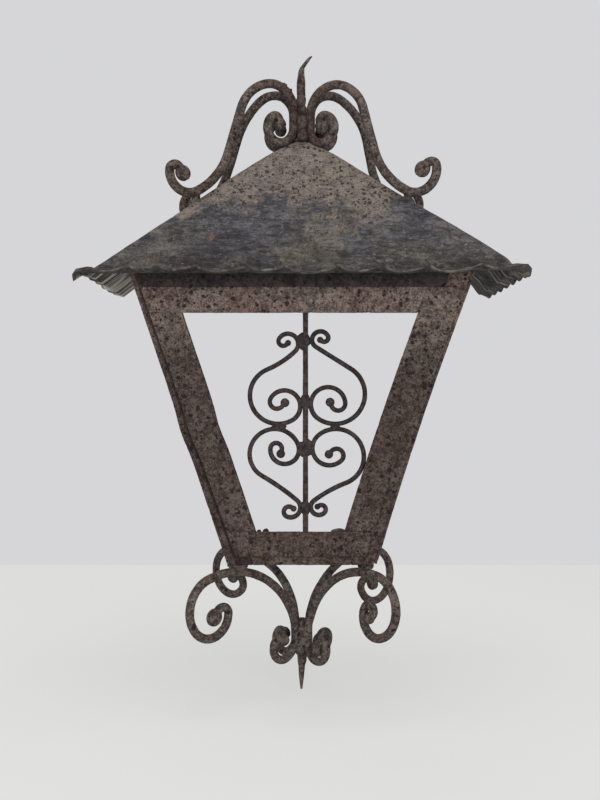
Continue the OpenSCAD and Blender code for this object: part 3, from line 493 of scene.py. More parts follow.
class Graph:
    """Short way to write a material's nodes: each method adds one node and returns its output."""

    def __init__(self, name):
        self.material = bpy.data.materials.new(name)
        self.material.use_nodes = True
        self.tree = self.material.node_tree
        self.shader = self.tree.nodes["Principled BSDF"]
        self.place = self.add("ShaderNodeTexCoord").outputs["Object"]

    def add(self, kind, **values):
        node = self.tree.nodes.new(kind)
        for key, value in values.items():
            setattr(node, key, value)
        return node

    def put(self, socket, value):
        if isinstance(value, bpy.types.NodeSocket):
            self.tree.links.new(value, socket)
        elif isinstance(value, (tuple, list)) or hasattr(value, "__len__"):
            socket.default_value = tuple(value)[:3] + ((1.0,) if len(socket.default_value) == 4 else ())
        else:
            socket.default_value = value

    def noise(self, scale, detail=3.0, rough=0.55, stretch=(1, 1, 1), warp=0.0):
        mapping = self.add("ShaderNodeMapping")
        self.put(mapping.inputs["Vector"], self.place)
        mapping.inputs["Scale"].default_value = stretch
        node = self.add("ShaderNodeTexNoise")
        self.put(node.inputs["Vector"], mapping.outputs["Vector"])
        self.put(node.inputs["Scale"], scale)
        self.put(node.inputs["Detail"], detail)
        self.put(node.inputs["Roughness"], rough)
        self.put(node.inputs["Distortion"], warp)
        return node.outputs["Fac"]

    def specks(self, scale, ragged=0.0, stretch=(1, 1, 1)):
        """Distance to the nearest of many scattered points, and a random number that this point holds.

        ragged bends the spots' outlines."""
        wobble = self.add("ShaderNodeTexNoise")
        self.put(wobble.inputs["Vector"], self.place)
        self.put(wobble.inputs["Scale"], scale * 1.7)
        shift = self.add("ShaderNodeVectorMath", operation="SCALE")
        self.put(shift.inputs[0], wobble.outputs["Color"])
        self.put(shift.inputs["Scale"], ragged / scale)
        moved = self.add("ShaderNodeVectorMath", operation="ADD")
        self.put(moved.inputs[0], self.place)
        self.put(moved.inputs[1], shift.outputs[0])
        mapping = self.add("ShaderNodeMapping")
        self.put(mapping.inputs["Vector"], moved.outputs[0])
        mapping.inputs["Scale"].default_value = stretch
        node = self.add("ShaderNodeTexVoronoi")
        self.put(node.inputs["Vector"], mapping.outputs["Vector"])
        self.put(node.inputs["Scale"], scale)
        parts = self.add("ShaderNodeSeparateColor")
        self.put(parts.inputs[0], node.outputs["Color"])
        return node.outputs["Distance"], parts.outputs[0]

    def ramp(self, value, stops):
        """Colour from a value between 0 and 1, through stops of place and colour."""
        node = self.add("ShaderNodeValToRGB")
        ramp = node.color_ramp
        while len(ramp.elements) < len(stops):
            ramp.elements.new(0.5)
        for element, (place, rgb) in zip(ramp.elements, stops):
            element.position = place
            element.color = (*rgb, 1)
        self.put(node.inputs["Fac"], value)
        return node.outputs["Color"]

    def blend(self, *parts):
        """Sum of noises, each given with its share."""
        total = self.maths("MULTIPLY", *parts[0])
        for value, share in parts[1:]:
            total = self.maths("ADD", total, self.maths("MULTIPLY", value, share))
        return total

    def between(self, value, low, high, start=0.0, end=1.0):
        """Maps low to high onto start to end, smoothly and without going past them."""
        node = self.add("ShaderNodeMapRange", interpolation_type="SMOOTHSTEP")
        for name, number in (("From Min", low), ("From Max", high), ("To Min", start), ("To Max", end)):
            self.put(node.inputs[name], number)
        self.put(node.inputs["Value"], value)
        return node.outputs["Result"]

    def maths(self, operation, a, b=0.0):
        node = self.add("ShaderNodeMath", operation=operation)
        self.put(node.inputs[0], a)
        self.put(node.inputs[1], b)
        return node.outputs[0]

    def mix(self, share, a, b, blend="MIX"):
        node = self.add("ShaderNodeMix", data_type="RGBA", blend_type=blend)
        self.put(node.inputs["Factor"], share)
        self.put(node.inputs["A"], a)
        self.put(node.inputs["B"], b)
        return node.outputs["Result"]

    def attribute(self, name):
        return self.add("ShaderNodeAttribute", attribute_name=name).outputs["Fac"]

    def along(self, axis):
        """Place along an axis of the lantern's frame."""
        node = self.add("ShaderNodeSeparateXYZ")
        self.put(node.inputs[0], self.place)
        return node.outputs[axis]

    def worn_and_lit(self):
        """Share of bare iron and of painted light from the wear_and_light that a piece's points hold, broken up by
        noise.
        """
        ragged = self.between(self.noise(90, 3), 0.3, 0.7, -0.3, 0.3)
        return self.between(self.maths("ADD", self.attribute("wear_and_light"), ragged), 0.3, 0.95)

    def times(self, tone, factor):
        """A colour made darker or lighter by a number."""
        node = self.add("ShaderNodeVectorMath", operation="SCALE")
        self.put(node.inputs[0], tone)
        self.put(node.inputs["Scale"], factor)
        return node.outputs[0]

    def finish(self, base, rough, relief=None, depth=0.4 * MM, strength=0.6):
        self.put(self.shader.inputs["Base Color"], base)
        self.put(self.shader.inputs["Roughness"], rough)
        if relief is not None:
            bump = self.add("ShaderNodeBump")
            self.put(bump.inputs["Strength"], strength)
            self.put(bump.inputs["Distance"], depth)
            self.put(bump.inputs["Height"], relief)
            self.put(self.shader.inputs["Normal"], bump.outputs["Normal"])
        return self.material


def shade(rgb, factor):
    """A colour made darker or lighter."""
    return tuple(min(1.0, v * factor) for v in rgb)


def spots_of(g, scale, reach, kept, ragged=0.3, stretch=(1, 1, 1)):
    """Crisp spots, 1 inside and 0 outside. kept is the share of places that hold one; few of them reach the
    full radius, which is reach / scale."""
    near, luck = g.specks(scale, ragged, stretch)
    size = g.between(luck, 1 - kept, 1.0, 0.0, reach)
    return g.between(g.maths("SUBTRACT", near, size), -0.09, 0.0, 1.0, 0.0)


def rusted_iron(name, base, light, rust, pit, spots=0.75, height_rust_and_light=0.0):
    """Old iron: an even grain from brown to tan, faint reddish patches, crisp dark spots and pale flecks.

    Three sizes of noise are summed into one value, which picks a colour from dark to pale. height_rust_and_light
    makes the middle redder and paints light over the height: the top lighter against the eave's shadow, the middle
    darker."""
    g = Graph(name)
    grain = g.blend((g.noise(700, 2, 0.7), 0.34), (g.noise(270, 4, 0.75), 0.42), (g.noise(95, 4, 0.65), 0.24))
    level = g.between(grain, 0.42, 0.58)
    brown = g.ramp(level, [(0, shade(base, 0.72)), (0.35, shade(base, 1.1)), (0.7, shade(light, 0.9)),
                           (1, shade(light, 1.34))])
    ruddy = g.ramp(level, [(0, shade(rust, 0.5)), (0.4, shade(rust, 0.95)), (0.75, shade(rust, 1.4)),
                           (1, shade(rust, 1.9))])
    patches = g.blend((g.noise(24, 4, 0.65), 0.65), (g.noise(140, 4, 0.7), 0.35))
    if height_rust_and_light:
        lower = g.between(g.along("Z"), -115 * MM, -40 * MM, height_rust_and_light, 0.0)
        patches = g.maths("ADD", patches, g.maths("MULTIPLY", lower, 0.15))
    tone = g.mix(g.between(patches, 0.46, 0.6, 0.0, 0.65), brown, ruddy)
    flecks = spots_of(g, 300, 0.27, 0.4)
    tone = g.mix(g.maths("MULTIPLY", flecks, 0.4), tone, shade(light, 1.8))
    large = spots_of(g, 198, 0.44, spots * 0.95, 0.8)
    small = spots_of(g, 370, 0.42, spots * 0.6, 0.8)
    # The pit attribute also carries painted shade from the bars' side faces and the front left post's margin
    dark = g.maths("MAXIMUM", g.maths("MAXIMUM", large, small), g.between(g.attribute("pit"), 0.08, 0.8, 0.0, 0.8))
    tone = g.mix(g.maths("MULTIPLY", dark, 0.96), tone, pit)
    tone = g.mix(g.worn_and_lit(), tone, shade(light, 1.25))
    # Painted light: the top is lightened against the eave's shadow, lower down it is darker, and the foot a little
    # lighter again
    if height_rust_and_light:
        upper = g.between(g.along("Z"), -78 * MM, -12 * MM, 1 - height_rust_and_light * 1.15, 1 + height_rust_and_light * 0.26)
        foot = g.between(g.along("Z"), -225 * MM, -165 * MM, height_rust_and_light * 0.1, 0.0)
        tone = g.times(tone, g.maths("ADD", upper, foot))
    crust = g.blend((g.noise(900, 3, 0.75), 0.5), (g.noise(260, 5, 0.7), 0.8), (dark, -0.6))
    g.put(g.shader.inputs["Specular IOR Level"], 0.3)
    return g.finish(tone, g.between(level, 0.0, 1.0, 0.9, 0.7), crust, 0.8 * MM, 0.7)


def roof_iron(name, colours):
    """Roof sheet: tan with dark pits near the top, blue grey with tan grey patches and level streaks below.

    The border between the two wanders with a large noise. Streaks are noise squeezed along the height."""
    g = Graph(name)
    wander = g.blend((g.noise(13, 4, 0.6), 0.6), (g.noise(60, 5, 0.7, stretch=(0.8, 1, 1.6)), 0.4))
    level = g.maths("ADD", g.along("Z"), g.between(wander, 0.36, 0.64, -30 * MM, 30 * MM))
    level = g.maths("SUBTRACT", level, g.between(g.along("X"), 20 * MM, 90 * MM, 0.0, 14 * MM))
    upper = g.between(level, 40 * MM, 76 * MM)
    fine = g.blend((g.noise(900, 2, 0.75), 0.4), (g.noise(300, 4, 0.75, stretch=(0.7, 1, 1.3)), 0.38),
                   (g.noise(80, 4, 0.6), 0.22))
    grain = g.between(fine, 0.42, 0.58, 0.55, 1.5)
    streak = g.blend((g.noise(44, 6, 0.76, stretch=(0.6, 1, 1.9), warp=0.5), 0.5),
                     (g.noise(160, 4, 0.78, stretch=(0.6, 1, 1.7), warp=0.5), 0.5))
    patch = g.blend((g.noise(15, 3, 0.55, stretch=(0.8, 1, 1.3)), 0.4), (g.noise(60, 5, 0.72, stretch=(0.6, 1, 1.8)), 0.35),
                    (g.noise(210, 4, 0.75, stretch=(0.5, 1, 1.8)), 0.25))
    patch = g.maths("ADD", patch, g.between(g.along("Z"), 8 * MM, 34 * MM, 0.015, -0.05))
    patch = g.maths("ADD", patch, g.between(g.along("X"), -60 * MM, 60 * MM, 0.02, -0.025))
    low_tone = g.mix(g.between(patch, 0.43, 0.59), colours.roof_blue, colours.roof_grey)
    low_tone = g.times(low_tone, g.between(streak, 0.43, 0.59, 0.52, 1.42))
    low_tone = g.times(low_tone, g.between(g.along("Z"), 2 * MM, 40 * MM, 0.66, 1.0))
    tone = g.mix(upper, low_tone, colours.roof_tan)
    yellow = g.between(g.noise(20, 4, 0.7), 0.5, 0.62, 0.0, 0.22)
    tone = g.times(g.mix(yellow, tone, linear(112, 103, 86)), grain)
    near, luck = g.specks(125, 0.7)
    hook = g.between(g.maths("ABSOLUTE", g.maths("SUBTRACT", near, 0.2)), 0.03, 0.07, 1.0, 0.0)
    hook = g.maths("MULTIPLY", hook, g.between(g.noise(190, 2), 0.5, 0.54))
    hook = g.maths("MULTIPLY", hook, g.between(luck, 0.7, 0.72))
    pitted = g.maths("MAXIMUM", spots_of(g, 215, 0.42, 0.8, 1.0), spots_of(g, 340, 0.42, 0.85, 0.9))
    pitted = g.maths("MULTIPLY", g.maths("MAXIMUM", pitted, hook), g.between(upper, 0.0, 0.9, 0.42, 0.92))
    flecks = g.maths("MULTIPLY", spots_of(g, 330, 0.3, 0.5, 0.5, (0.6, 1, 1.3)), 0.4)
    tone = g.mix(flecks, tone, linear(150, 143, 137))
    away = g.add("ShaderNodeVectorMath", operation="DISTANCE")
    g.put(away.inputs[0], g.place)
    away.inputs[1].default_value = (-75 * MM, -156 * MM, 30 * MM)
    rusty = g.maths("ADD", away.outputs["Value"], g.between(g.noise(300, 3), 0.3, 0.7, -2 * MM, 2 * MM))
    tone = g.mix(g.between(rusty, 1.5 * MM, 3.5 * MM, 0.75, 0.0), tone, linear(128, 90, 72))
    # The pit attribute also carries the painted shadow in the creases
    dark = g.maths("MAXIMUM", pitted, g.between(g.attribute("pit"), 0.15, 0.8, 0.0, 0.75))
    tone = g.mix(dark, tone, colours.pit)
    tone = g.mix(g.worn_and_lit(), tone, linear(138, 127, 119))
    # Values above 1.1, found only on the underside's streaks, turn near white: painted light
    tone = g.mix(g.between(g.attribute("wear_and_light"), 1.1, 1.6, 0.0, 0.85), tone, linear(222, 214, 206))
    crust = g.blend((streak, 0.8), (fine, 0.8), (dark, -0.6))
    g.put(g.shader.inputs["Specular IOR Level"], 0.35)
    return g.finish(tone, g.between(streak, 0.35, 0.65, 0.86, 0.6), crust, 1.4 * MM, 0.8)


def brass(name, tone):
    g = Graph(name)
    dull = g.between(g.noise(90, 5, 0.65), 0.4, 0.65)
    g.put(g.shader.inputs["Metallic"], 1.0)
    return g.finish(g.mix(dull, tone, linear(98, 76, 46)), g.between(dull, 0, 1, 0.3, 0.6),
                    g.noise(900, 3), 0.1 * MM, 0.3)


def glaze(name, tone):
    g = Graph(name)
    stain = g.between(g.noise(40, 5, 0.65), 0.5, 0.75, 0.0, 0.45)
    craze = g.between(g.specks(260)[0], 0.0, 0.05, 0.25, 0.0)
    g.put(g.shader.inputs["Coat Weight"], 0.6)
    g.put(g.shader.inputs["Coat Roughness"], 0.08)
    return g.finish(g.mix(g.maths("MAXIMUM", stain, craze), tone, linear(150, 136, 112)), 0.22,
                    g.noise(60, 2), 0.2 * MM, 0.2)


finishes = {}


def finish_of(kind):
    """The finish of a kind, made when it is first asked for."""
    if kind not in finishes:
        c = bpy.context.scene.lantern_finish
        makers = {
            "strip": lambda: rusted_iron("pitted_strip", c.strip, c.strip_light, c.strip_rust, c.pit, height_rust_and_light=0.4),
            "bar": lambda: rusted_iron("forged_bar", c.bar, c.bar_light, c.bar_rust, c.pit, 0.6),
            "wire": lambda: rusted_iron("dark_wire", c.wire, shade(c.wire, 1.5), shade(c.bar_rust, 0.6), c.pit, 0.3),
            "soot_and_shade": lambda: rusted_iron("sooty_shaded_bar", c.soot_and_shade, shade(c.soot_and_shade, 1.5), linear(56, 44, 41),
                                        linear(26, 21, 21), 0.3),
            "roof": lambda: roof_iron("roof_sheet", c),
            "brass": lambda: brass("tarnished_brass", c.brass),
            "glaze": lambda: glaze("white_glaze", c.glaze),
        }
        finishes[kind] = makers[kind]()
    return finishes[kind]


# Roof


def roof_height(x, y, roof):
    """Height of the roof's outside: the lower of the side and front slopes, with the ridge and hips rounded.

    A slope falls evenly from the peak; hypot(fall, ridge_drop) rounds the ridge, and the greater of the two
    falls, blended as (a + b + hypot(a - b, k)) / 2, rounds the hips."""
    side = np.hypot(x * roof.height / (roof.width / 2), roof.ridge_drop)
    front = np.maximum(0, -y - STEM_Y) * roof.height / (roof.depth - STEM_Y)
    blunt = 2.4 * MM
    fall = (side + front + np.hypot(side - front, blunt)) / 2 - blunt * 0.25
    return roof.fold_z + roof.height - np.where(-y > STEM_Y - 0.02, fall, side)


# Places of the upturned points between the front ruffles, from the middle
FRONT_CUSPS = [x * MM for x in (-188, -171, -139, -116.5, -84.5, -42.5, -13, 30.5, 65.5, 102.5, 145, 172, 188)]
# How far the sheet's corners turn up in front and down at the side, left and right
CORNER_UP = (1.6 * MM, 4.8 * MM)
CORNER_DOWN = (-7.2 * MM, -2.8 * MM)
LEFT_LIFT = 3 * MM
RIGHT_LIFT = -2 * MM


def front_ruffle(x, roof):
    """Height of the front edge: lobes that dip quickly after a point and come up slowly to the next one,
    -deep sin(pi t^0.75)^0.75, less deep where they are short."""
    cusps = np.array(FRONT_CUSPS)
    k = np.clip(np.searchsorted(cusps, x) - 1, 0, len(cusps) - 2)
    gap = cusps[k + 1] - cusps[k]
    t = np.clip((x - cusps[k]) / gap, 0, 1)
    deep = roof.front_wave * np.clip(gap / (36 * MM), 0.5, 1.05) * (0.85 + 0.3 * lattice(np.stack([k, k, k], -1), 5))
    return roof.front_wave * 0.84 - deep * np.sin(np.pi * t**0.75) ** 0.75


def side_ruffle(y, roof, lift, seed):
    """Height of a side edge: lobes of uneven length along the depth, lift + wave (0.4 - |sin|^0.8)."""
    t = -y / (25.5 * MM) + 0.16 * np.sin(-y / (37 * MM) + seed)
    return lift + roof.side_wave * (0.4 - np.abs(np.sin(np.pi * t)) ** 0.8)


def smooth_step(t):
    t = np.clip(t, 0, 1)
    return t * t * (3 - 2 * t)


def roof_sheet():
    """Roof surface on a grid: one parameter runs round the edge from wall to wall, the other from the ridge
    to the fold line and on to the ruffled edge. The underside is the same grid, one sheet lower."""
    roof = bpy.context.scene.lantern_roof
    half, depth = roof.width / 2, roof.depth
    side_y = np.linspace(0, -depth, 92)[:-1]
    front_x = np.linspace(-half, half, 216)
    edge = np.concatenate([
        np.stack([np.full_like(side_y, -half), side_y], axis=-1),
        np.stack([front_x, np.full_like(front_x, -depth)], axis=-1),
        np.stack([np.full_like(side_y, half), side_y[::-1]], axis=-1)])
    is_left = np.isclose(edge[:, 0], -half)
    is_right = np.isclose(edge[:, 0], half)
    is_front = np.isclose(edge[:, 1], -depth)
    ridge = np.stack([np.zeros(len(edge)), np.maximum(edge[:, 1], -STEM_Y)], axis=-1)
    near = 7 * MM
    to_corner = np.minimum(np.hypot(edge[:, 0] + half, edge[:, 1] + depth),
                           np.hypot(edge[:, 0] - half, edge[:, 1] + depth))
    turn = smooth_step(1 - to_corner / near)
    out = np.stack([np.where(is_left, -1.0, 0) + np.where(is_right, 1.0, 0),
                    np.where(is_front, -1.0, 0)], axis=-1)
    corner_out = np.stack([np.sign(edge[:, 0]), np.full(len(edge), -1.0)], axis=-1)
    out = out + (corner_out - out) * turn[:, None]
    width = np.array([roof.side_edge, roof.front_edge])
    inner = np.linspace(0, 1, 92) ** 0.94
    outer = np.linspace(0, 1, 9)[1:]
    slope = ridge[None] + (edge - ridge)[None] * inner[:, None, None]
    band = edge[None] + out[None] * width * outer[:, None, None]
    xy = np.concatenate([slope, band])
    run = np.concatenate([inner, np.ones(len(outer))])[:, None]
    past = np.concatenate([np.zeros(len(inner)), outer])[:, None]
    z = roof_height(np.clip(xy[..., 0], -half, half), np.clip(xy[..., 1], -depth, 0), roof)
    is_left_half = edge[:, 0] < 0
    lift = np.where(is_left_half, LEFT_LIFT, RIGHT_LIFT)
    up = np.where(is_left_half, *CORNER_UP)
    down = np.where(is_left_half, *CORNER_DOWN)
    ruffle = np.where(is_front, front_ruffle(edge[:, 0], roof), side_ruffle(edge[:, 1], roof, lift, 1.3))
    around = np.where(is_front, to_corner, -to_corner)
    tail = down + (up - down) * smooth_step((around + 2 * MM) / (4 * MM))
    ruffle = ruffle + (tail - ruffle) * smooth_step(1 - to_corner / (11 * MM))
    z = z + ruffle[None] * past**1.6
    # The creases between the ruffles run a little way up the slope
    crease = np.clip(ruffle / roof.front_wave, -0.6, 0.6)[None] * 1.6 * MM
    z = z + crease * smooth_step((run - 0.86) / 0.14) * (past == 0)
    # The slopes bulge a little and the right hip stands up near its lower end, as the sheet was bent by hand
    z = z + 1.4 * MM * np.sin(np.pi * np.clip((run - 0.05) / 0.5, 0, 1)) * smooth_step(np.abs(xy[..., 0]) / (30 * MM))
    rise = roof.hip_rise * smooth_step((run - 0.3) / 0.58) * (1 - 0.6 * smooth_step((run - 0.95) / 0.05))
    near_hip = smooth_step((edge[:, 0] / half - 0.4) / 0.55) * smooth_step(1 + (edge[:, 1] + 30 * MM) / (150 * MM) * -0.4)
    z = z + rise * near_hip[None] * (1 - 0.5 * past)
    points = np.concatenate([xy, z[..., None]], axis=-1)
    settle = (smooth_step(run / 0.1) * np.ones(len(edge)))[..., None] * np.array([0, 0, 1.0])
    dents = clouds(points, 46 * MM, 3) + 0.5 * clouds(points, 17 * MM, 4) + 0.25 * clouds(points, 6 * MM, 5)
    hole = pits(points, 5.2 * MM, 0.5, 71)
    points = points + settle * (roof.dent * 0.6 * dents - 0.35 * MM * hole)[..., None]
    fray = np.clip(past, 0, 1) * clouds(points, 5 * MM, 8) * 0.7 * MM
    points[..., 1] += fray * is_front
    points[..., 1] = np.clip(points[..., 1], max(float(ROOF_LOW[1]), cad_low[1]) + 0.02 * MM, 0)
    drop = roof.sheet * np.array([0, 0, 1.26])
    under = points - drop
    rows, columns = points.shape[:2]
    index = np.arange(rows * columns).reshape(rows, columns)
    quads = np.stack([index[:-1, :-1], index[:-1, 1:], index[1:, 1:], index[1:, :-1]], axis=-1).reshape(-1, 4)
    lower = quads[:, ::-1] + rows * columns
    rim = np.concatenate([index[-1], index[-2::-1, -1], index[0, -2::-1], index[1:-1, 0]])
    after = np.roll(rim, -1)
    wall = np.stack([rim, after, after + rows * columns, rim + rows * columns], axis=-1)
    faces = np.concatenate([quads, lower, wall]).tolist()
    # Creases rise from the points between the ruffles and get painted shadow; the rim gets a painted highlight,
    # weaker near the corners
    to_cusp = np.abs(edge[:, :1] - np.array(FRONT_CUSPS)).min(axis=1) + 1.0 * ~is_front
    crease_shadow = np.exp(-(to_cusp / (1.6 * MM)) ** 2)[None] * smooth_step((past + (run - 1) * 3) / 0.6 + 0.2)
    hole = np.maximum(hole, 0.55 * crease_shadow)
    # Painted highlight along the rim of the ruffled edge
    rim_light = 0.3 + 0.2 * smooth_step((to_corner - 10 * MM) / (14 * MM))
    rim_highlight = np.broadcast_to(rim_light[None] * smooth_step((past - 0.88) / 0.12), hole.shape)
    # Underneath, the edge is painted lighter brown as light that reaches it from below, and the sides get painted
    # light streaks that run inwards, stronger on the left where more light falls
    folds = clouds(points * np.array([0.12, 1, 0.12]), 3.4 * MM, 21)
    folds = smooth_step((folds + np.where(is_left_half, 0.22, -0.05)) / 0.45) * ~is_front
    folds = folds * np.where(is_left_half, 1.6, 1.3) * (1 - 0.75 * smooth_step((past - 0.7) / 0.3))
    below = np.maximum(folds, np.where(is_front, 0.22, 0.3) * smooth_step(past * 3))
    return piece("roof_sheet", np.concatenate([points, under]), faces, finish_of("roof"),
                 ("roof",), np.concatenate([hole, hole * 0.4]), np.concatenate([rim_highlight, below]))


class LANTERN_OT_roof(bpy.types.Operator):
    """Roof sheet with its ruffled edge"""
    bl_idname = "lantern.roof"
    bl_label = "Roof"

    def execute(self, context):
        weld(roof_sheet())
        return {"FINISHED"}


# Arms. Each pair is a turn in degrees and a radius in millimetres; a turn of 0 is a straight stretch.
TOP_LEFT_CURL = [(58, 15.5), (180, 12.2), (108, 4.0)]
TOP_RIGHT_CURL = [(48, 9.6), (205, 12.2), (130, 4.4)]
LOW_LEFT_CURL = [(65, 17.5), (159, 10.5), (70, 4.5)]
LOW_RIGHT_CURL = [(43, 15.5), (140, 12.5), (145, 5.5)]
FRONT_TOP_LEFT = [(0, 15), (-110, 21), (-53, 37.5), (0, 41.6), (42.3, 64), (126.7, 16.7), (140.2, 4.8)]
FRONT_TOP_RIGHT = [(0, 16.4), (-112, 22.9), (-52, 34), (0, 39.3), (44, 65), (128, 18), (127.7, 5)]
REAR_TOP_LEFT = [(0, 11.5), (-125, 22.5), (-35, 63.5), (0, 27.5), (34, 91), (198, 12.8), (124, 4.8)]
REAR_TOP_RIGHT = [(0, 16.2), (-116, 22), (-51, 52), (0, 21.5), (47, 70.5), (175, 14.2), (122, 5)]
FRONT_LOW_LEFT = [(0, 5), (-27, 46), (-81, 75), (-107, 27), (-143, 19), (-144, 6)]
FRONT_LOW_RIGHT = [(0, 6), (-19, 39.5), (-81, 79), (-155, 26), (-141, 15.5), (-200, 5.2)]
REAR_LOW_LEFT = [(0, 9), (-61, 55.5), (-40, 93.5), (-124, 21), (-88, 22), (-156, 7.5)]
REAR_LOW_RIGHT = [(0, 8), (-42, 56.5), (-60, 81.5), (-124, 25), (-109, 21), (-158, 7.5)]
# Inner curl, outer run, angle from the right-hand direction, and the inner and outer eyes in millimetres
ARMS = {
    "top_arm_front_left": (TOP_LEFT_CURL, FRONT_TOP_LEFT, 208, (5.6, 6.8)),
    "top_arm_front_right": (TOP_RIGHT_CURL, FRONT_TOP_RIGHT, -28, (6.3, 7.0)),
    "top_arm_rear_left": (TOP_LEFT_CURL, REAR_TOP_LEFT, 152, (5.6, 8.1)),
    "top_arm_rear_right": (TOP_RIGHT_CURL, REAR_TOP_RIGHT, 28, (6.3, 8.8)),
    "bottom_arm_front_left": (LOW_LEFT_CURL, FRONT_LOW_LEFT, 221, (5.4, 7.5)),
    "bottom_arm_front_right": (LOW_RIGHT_CURL, FRONT_LOW_RIGHT, -51, (6.2, 5.0)),
    "bottom_arm_rear_left": (LOW_LEFT_CURL, REAR_LOW_LEFT, 136, (5.4, 6.0)),
    "bottom_arm_rear_right": (LOW_RIGHT_CURL, REAR_LOW_RIGHT, 44, (6.2, 6.6)),
}


def in_metres(arcs):
    return [(turn, size * MM) for turn, size in arcs]


def arm(node, seed):
    """One forged arm: inner curl, straight stretch along the stem, long bend and outer scroll."""
    forge = bpy.context.scene.lantern_forge
    inner, outer, angle, eyes = ARMS[node]
    is_top = node.startswith("top")
    low, high = corners(node)
    bar = (forge.top_bar if is_top else forge.low_bar) / 2
    stem = 8.63 * MM if is_top else 8.02 * MM
    foot = np.array([[stem, 0, 90.0]])
    curl = turned(arc_run((stem, 0, -90), in_metres(inner), 1.3 * MM))
    path = np.concatenate([curl, foot, arc_run((stem, 0, 90), in_metres(outer), 1.3 * MM)])
    rows = forged_rings(path, bar, eyes[0] * MM, eyes[1] * MM)
    top = np.max(rows[:, 1] + np.abs(rows[:, 3] * np.cos(np.radians(rows[:, 2]))))
    swept(node + "_bar", rows, upright_plane(angle, float(high[2]) - top), finish_of("bar"),
          (node,), seed, forge.sides)


class LANTERN_OT_arms(bpy.types.Operator):
    """Four arms above the roof and four below the body, with the welds that join them"""
    bl_idname = "lantern.arms"
    bl_label = "Scrolled arms"

    def execute(self, context):
        for seed, node in enumerate(ARMS):
            arm(node, 40 + 7 * seed)
        top = corners("spike_foot")[1][2] / MM
        hub = corners("bottom_spike")[1][2] / MM
        under = BODY_BOTTOM / MM
        stem = -STEM_Y / MM
        # Welds in millimetres: place, size and how lumpy
        welds = {
            "top_core": ((0, stem, top + 14), (16, 16, 30), 0.15),
            "top_1": ((-0.8, stem - 5.5, top + 31), (8, 8, 12), 0.3),
            "top_2": ((0.6, stem - 6, top + 22), (10, 9, 12), 0.3),
            "top_3": ((-0.4, stem - 6, top + 12), (10.5, 9, 13), 0.3),
            "top_bolt": ((0.5, stem - 8.5, top - 0.5), (9, 8, 11), 0.16),
            "low_core": ((0, stem, hub - 21), (15, 15, 26), 0.15),
            "low_1": ((-1, stem - 6, hub - 15), (10, 9, 11), 0.3),
            "low_2": ((1.5, stem - 6.5, hub - 19), (12, 9, 16), 0.3),
            "low_3": ((-2.5, stem - 6, hub - 29), (9, 8, 12), 0.3),
            "body_left": ((-55, stem - 44, under - 2.0), (15, 14, 7), 0.3),
            "body_right": ((54, stem - 44, under - 2.4), (15, 14, 8), 0.3),
            "nub_1": ((-16.6, stem - 8, top + 44.6), (6, 6, 4.4), 0.3),
            "nub_2": ((-10.9, stem - 6, top + 40.2), (5, 6, 5), 0.3),
        }
        for seed, (key, (centre, size, lump)) in enumerate(welds.items()):
            blob("weld_" + key, np.array(centre) * MM, np.array(size) * MM, finish_of("bar"), 5 + 3 * seed, lump=lump)
        return {"FINISHED"}


# Spikes


def spine(name, rows, finish, node, seed):
    """Round spike: circles of a given radius round an upright, slightly bent centre line, rows of x, z, radius."""
    sides = 20
    rows = np.array(rows, float)
    t = np.linspace(0, len(rows) - 1, 90)
    x, z, r = [np.interp(t, np.arange(len(rows)), rows[:, k]) for k in range(3)]
    a = 2 * math.pi * np.arange(sides) / sides
    points = np.stack([x[:, None] + r[:, None] * np.cos(a), -STEM_Y + r[:, None] * np.sin(a),
                       np.broadcast_to(z[:, None], (len(z), sides))], axis=-1)
    outs = np.stack([np.cos(a), np.sin(a), np.zeros(sides)], axis=-1)[None]
    grain = clouds(points, 6 * MM, seed) * 0.3 * MM * np.clip(r / (3 * MM), 0.3, 1)[:, None]
    hole = pits(points, 3.4 * MM, 0.5, seed + 2)
    points = points + outs * (grain - hole * 0.25 * MM)[..., None]
    hole = np.maximum(hole * 0.8, hub_darkening(points))
    oriented(name, points, rings_to_faces(len(z), sides), finish, (node,), hole)


class LANTERN_OT_spikes(bpy.types.Operator):
    """Bent spike above the roof with its washer and nut, and the straight spike below the body"""
    bl_idname = "lantern.spikes"
    bl_label = "Spikes"

    def execute(self, context):
        iron = finish_of("bar")
        low, high = corners("top_spike")
        r = 3.8 * MM
        base, tip = low[2], high[2]
        # Sideways, drop below the tip and radius
        bend = [(-0.9, 24.3, 3.8), (-0.8, 19, 3.4), (-0.6, 14, 2.7), (0, 11.2, 2.2), (2.6, 7.3, 1.95),
                (5.4, 3.5, 1.8), (7.9, 0.9, 1.3), (8.7, 0.2, 0.5)]
        rows = [(0, base, r), (-0.6 * MM, base + 0.3 * (tip - base), r)]
        rows += [(x * MM, tip - drop * MM, size * MM) for x, drop, size in bend]
        spine("top_spike_rod", rows, iron, "top_spike", 12)
        low, high = corners("bottom_spike")
        r = (high[0] - low[0]) / 2
        span = high[2] - low[2]
        rows = [(-0.5 * MM, low[2], 0.9 * MM), (-0.5 * MM, low[2] + 0.06 * span, r * 0.3),
                (-0.4 * MM, low[2] + 0.19 * span, r * 0.54), (-0.2 * MM, low[2] + 0.32 * span, r * 0.7),
                (0.1 * MM, low[2] + 0.37 * span, r * 0.92), (0, low[2] + 0.43 * span, r * 0.99),
                (0, low[2] + 0.55 * span, r * 0.94), (0, high[2] - 5 * MM, r * 0.9), (0, high[2] - 3.4 * MM, r * 0.6)]
        spine("bottom_spike_rod", rows, iron, "bottom_spike", 15)
        copied("spike_foot", iron, 0.5 * MM)
        copied("spike_nut", iron, 0.6 * MM)
        return {"FINISHED"}


# Body


def half_width(z):
    """Half of the body's width at a height."""
    body = bpy.context.scene.lantern_body
    share = (z - BODY_BOTTOM) / (PANEL_TOP - BODY_BOTTOM)
    return (body.bottom_width + (body.top_width - body.bottom_width) * share) / 2


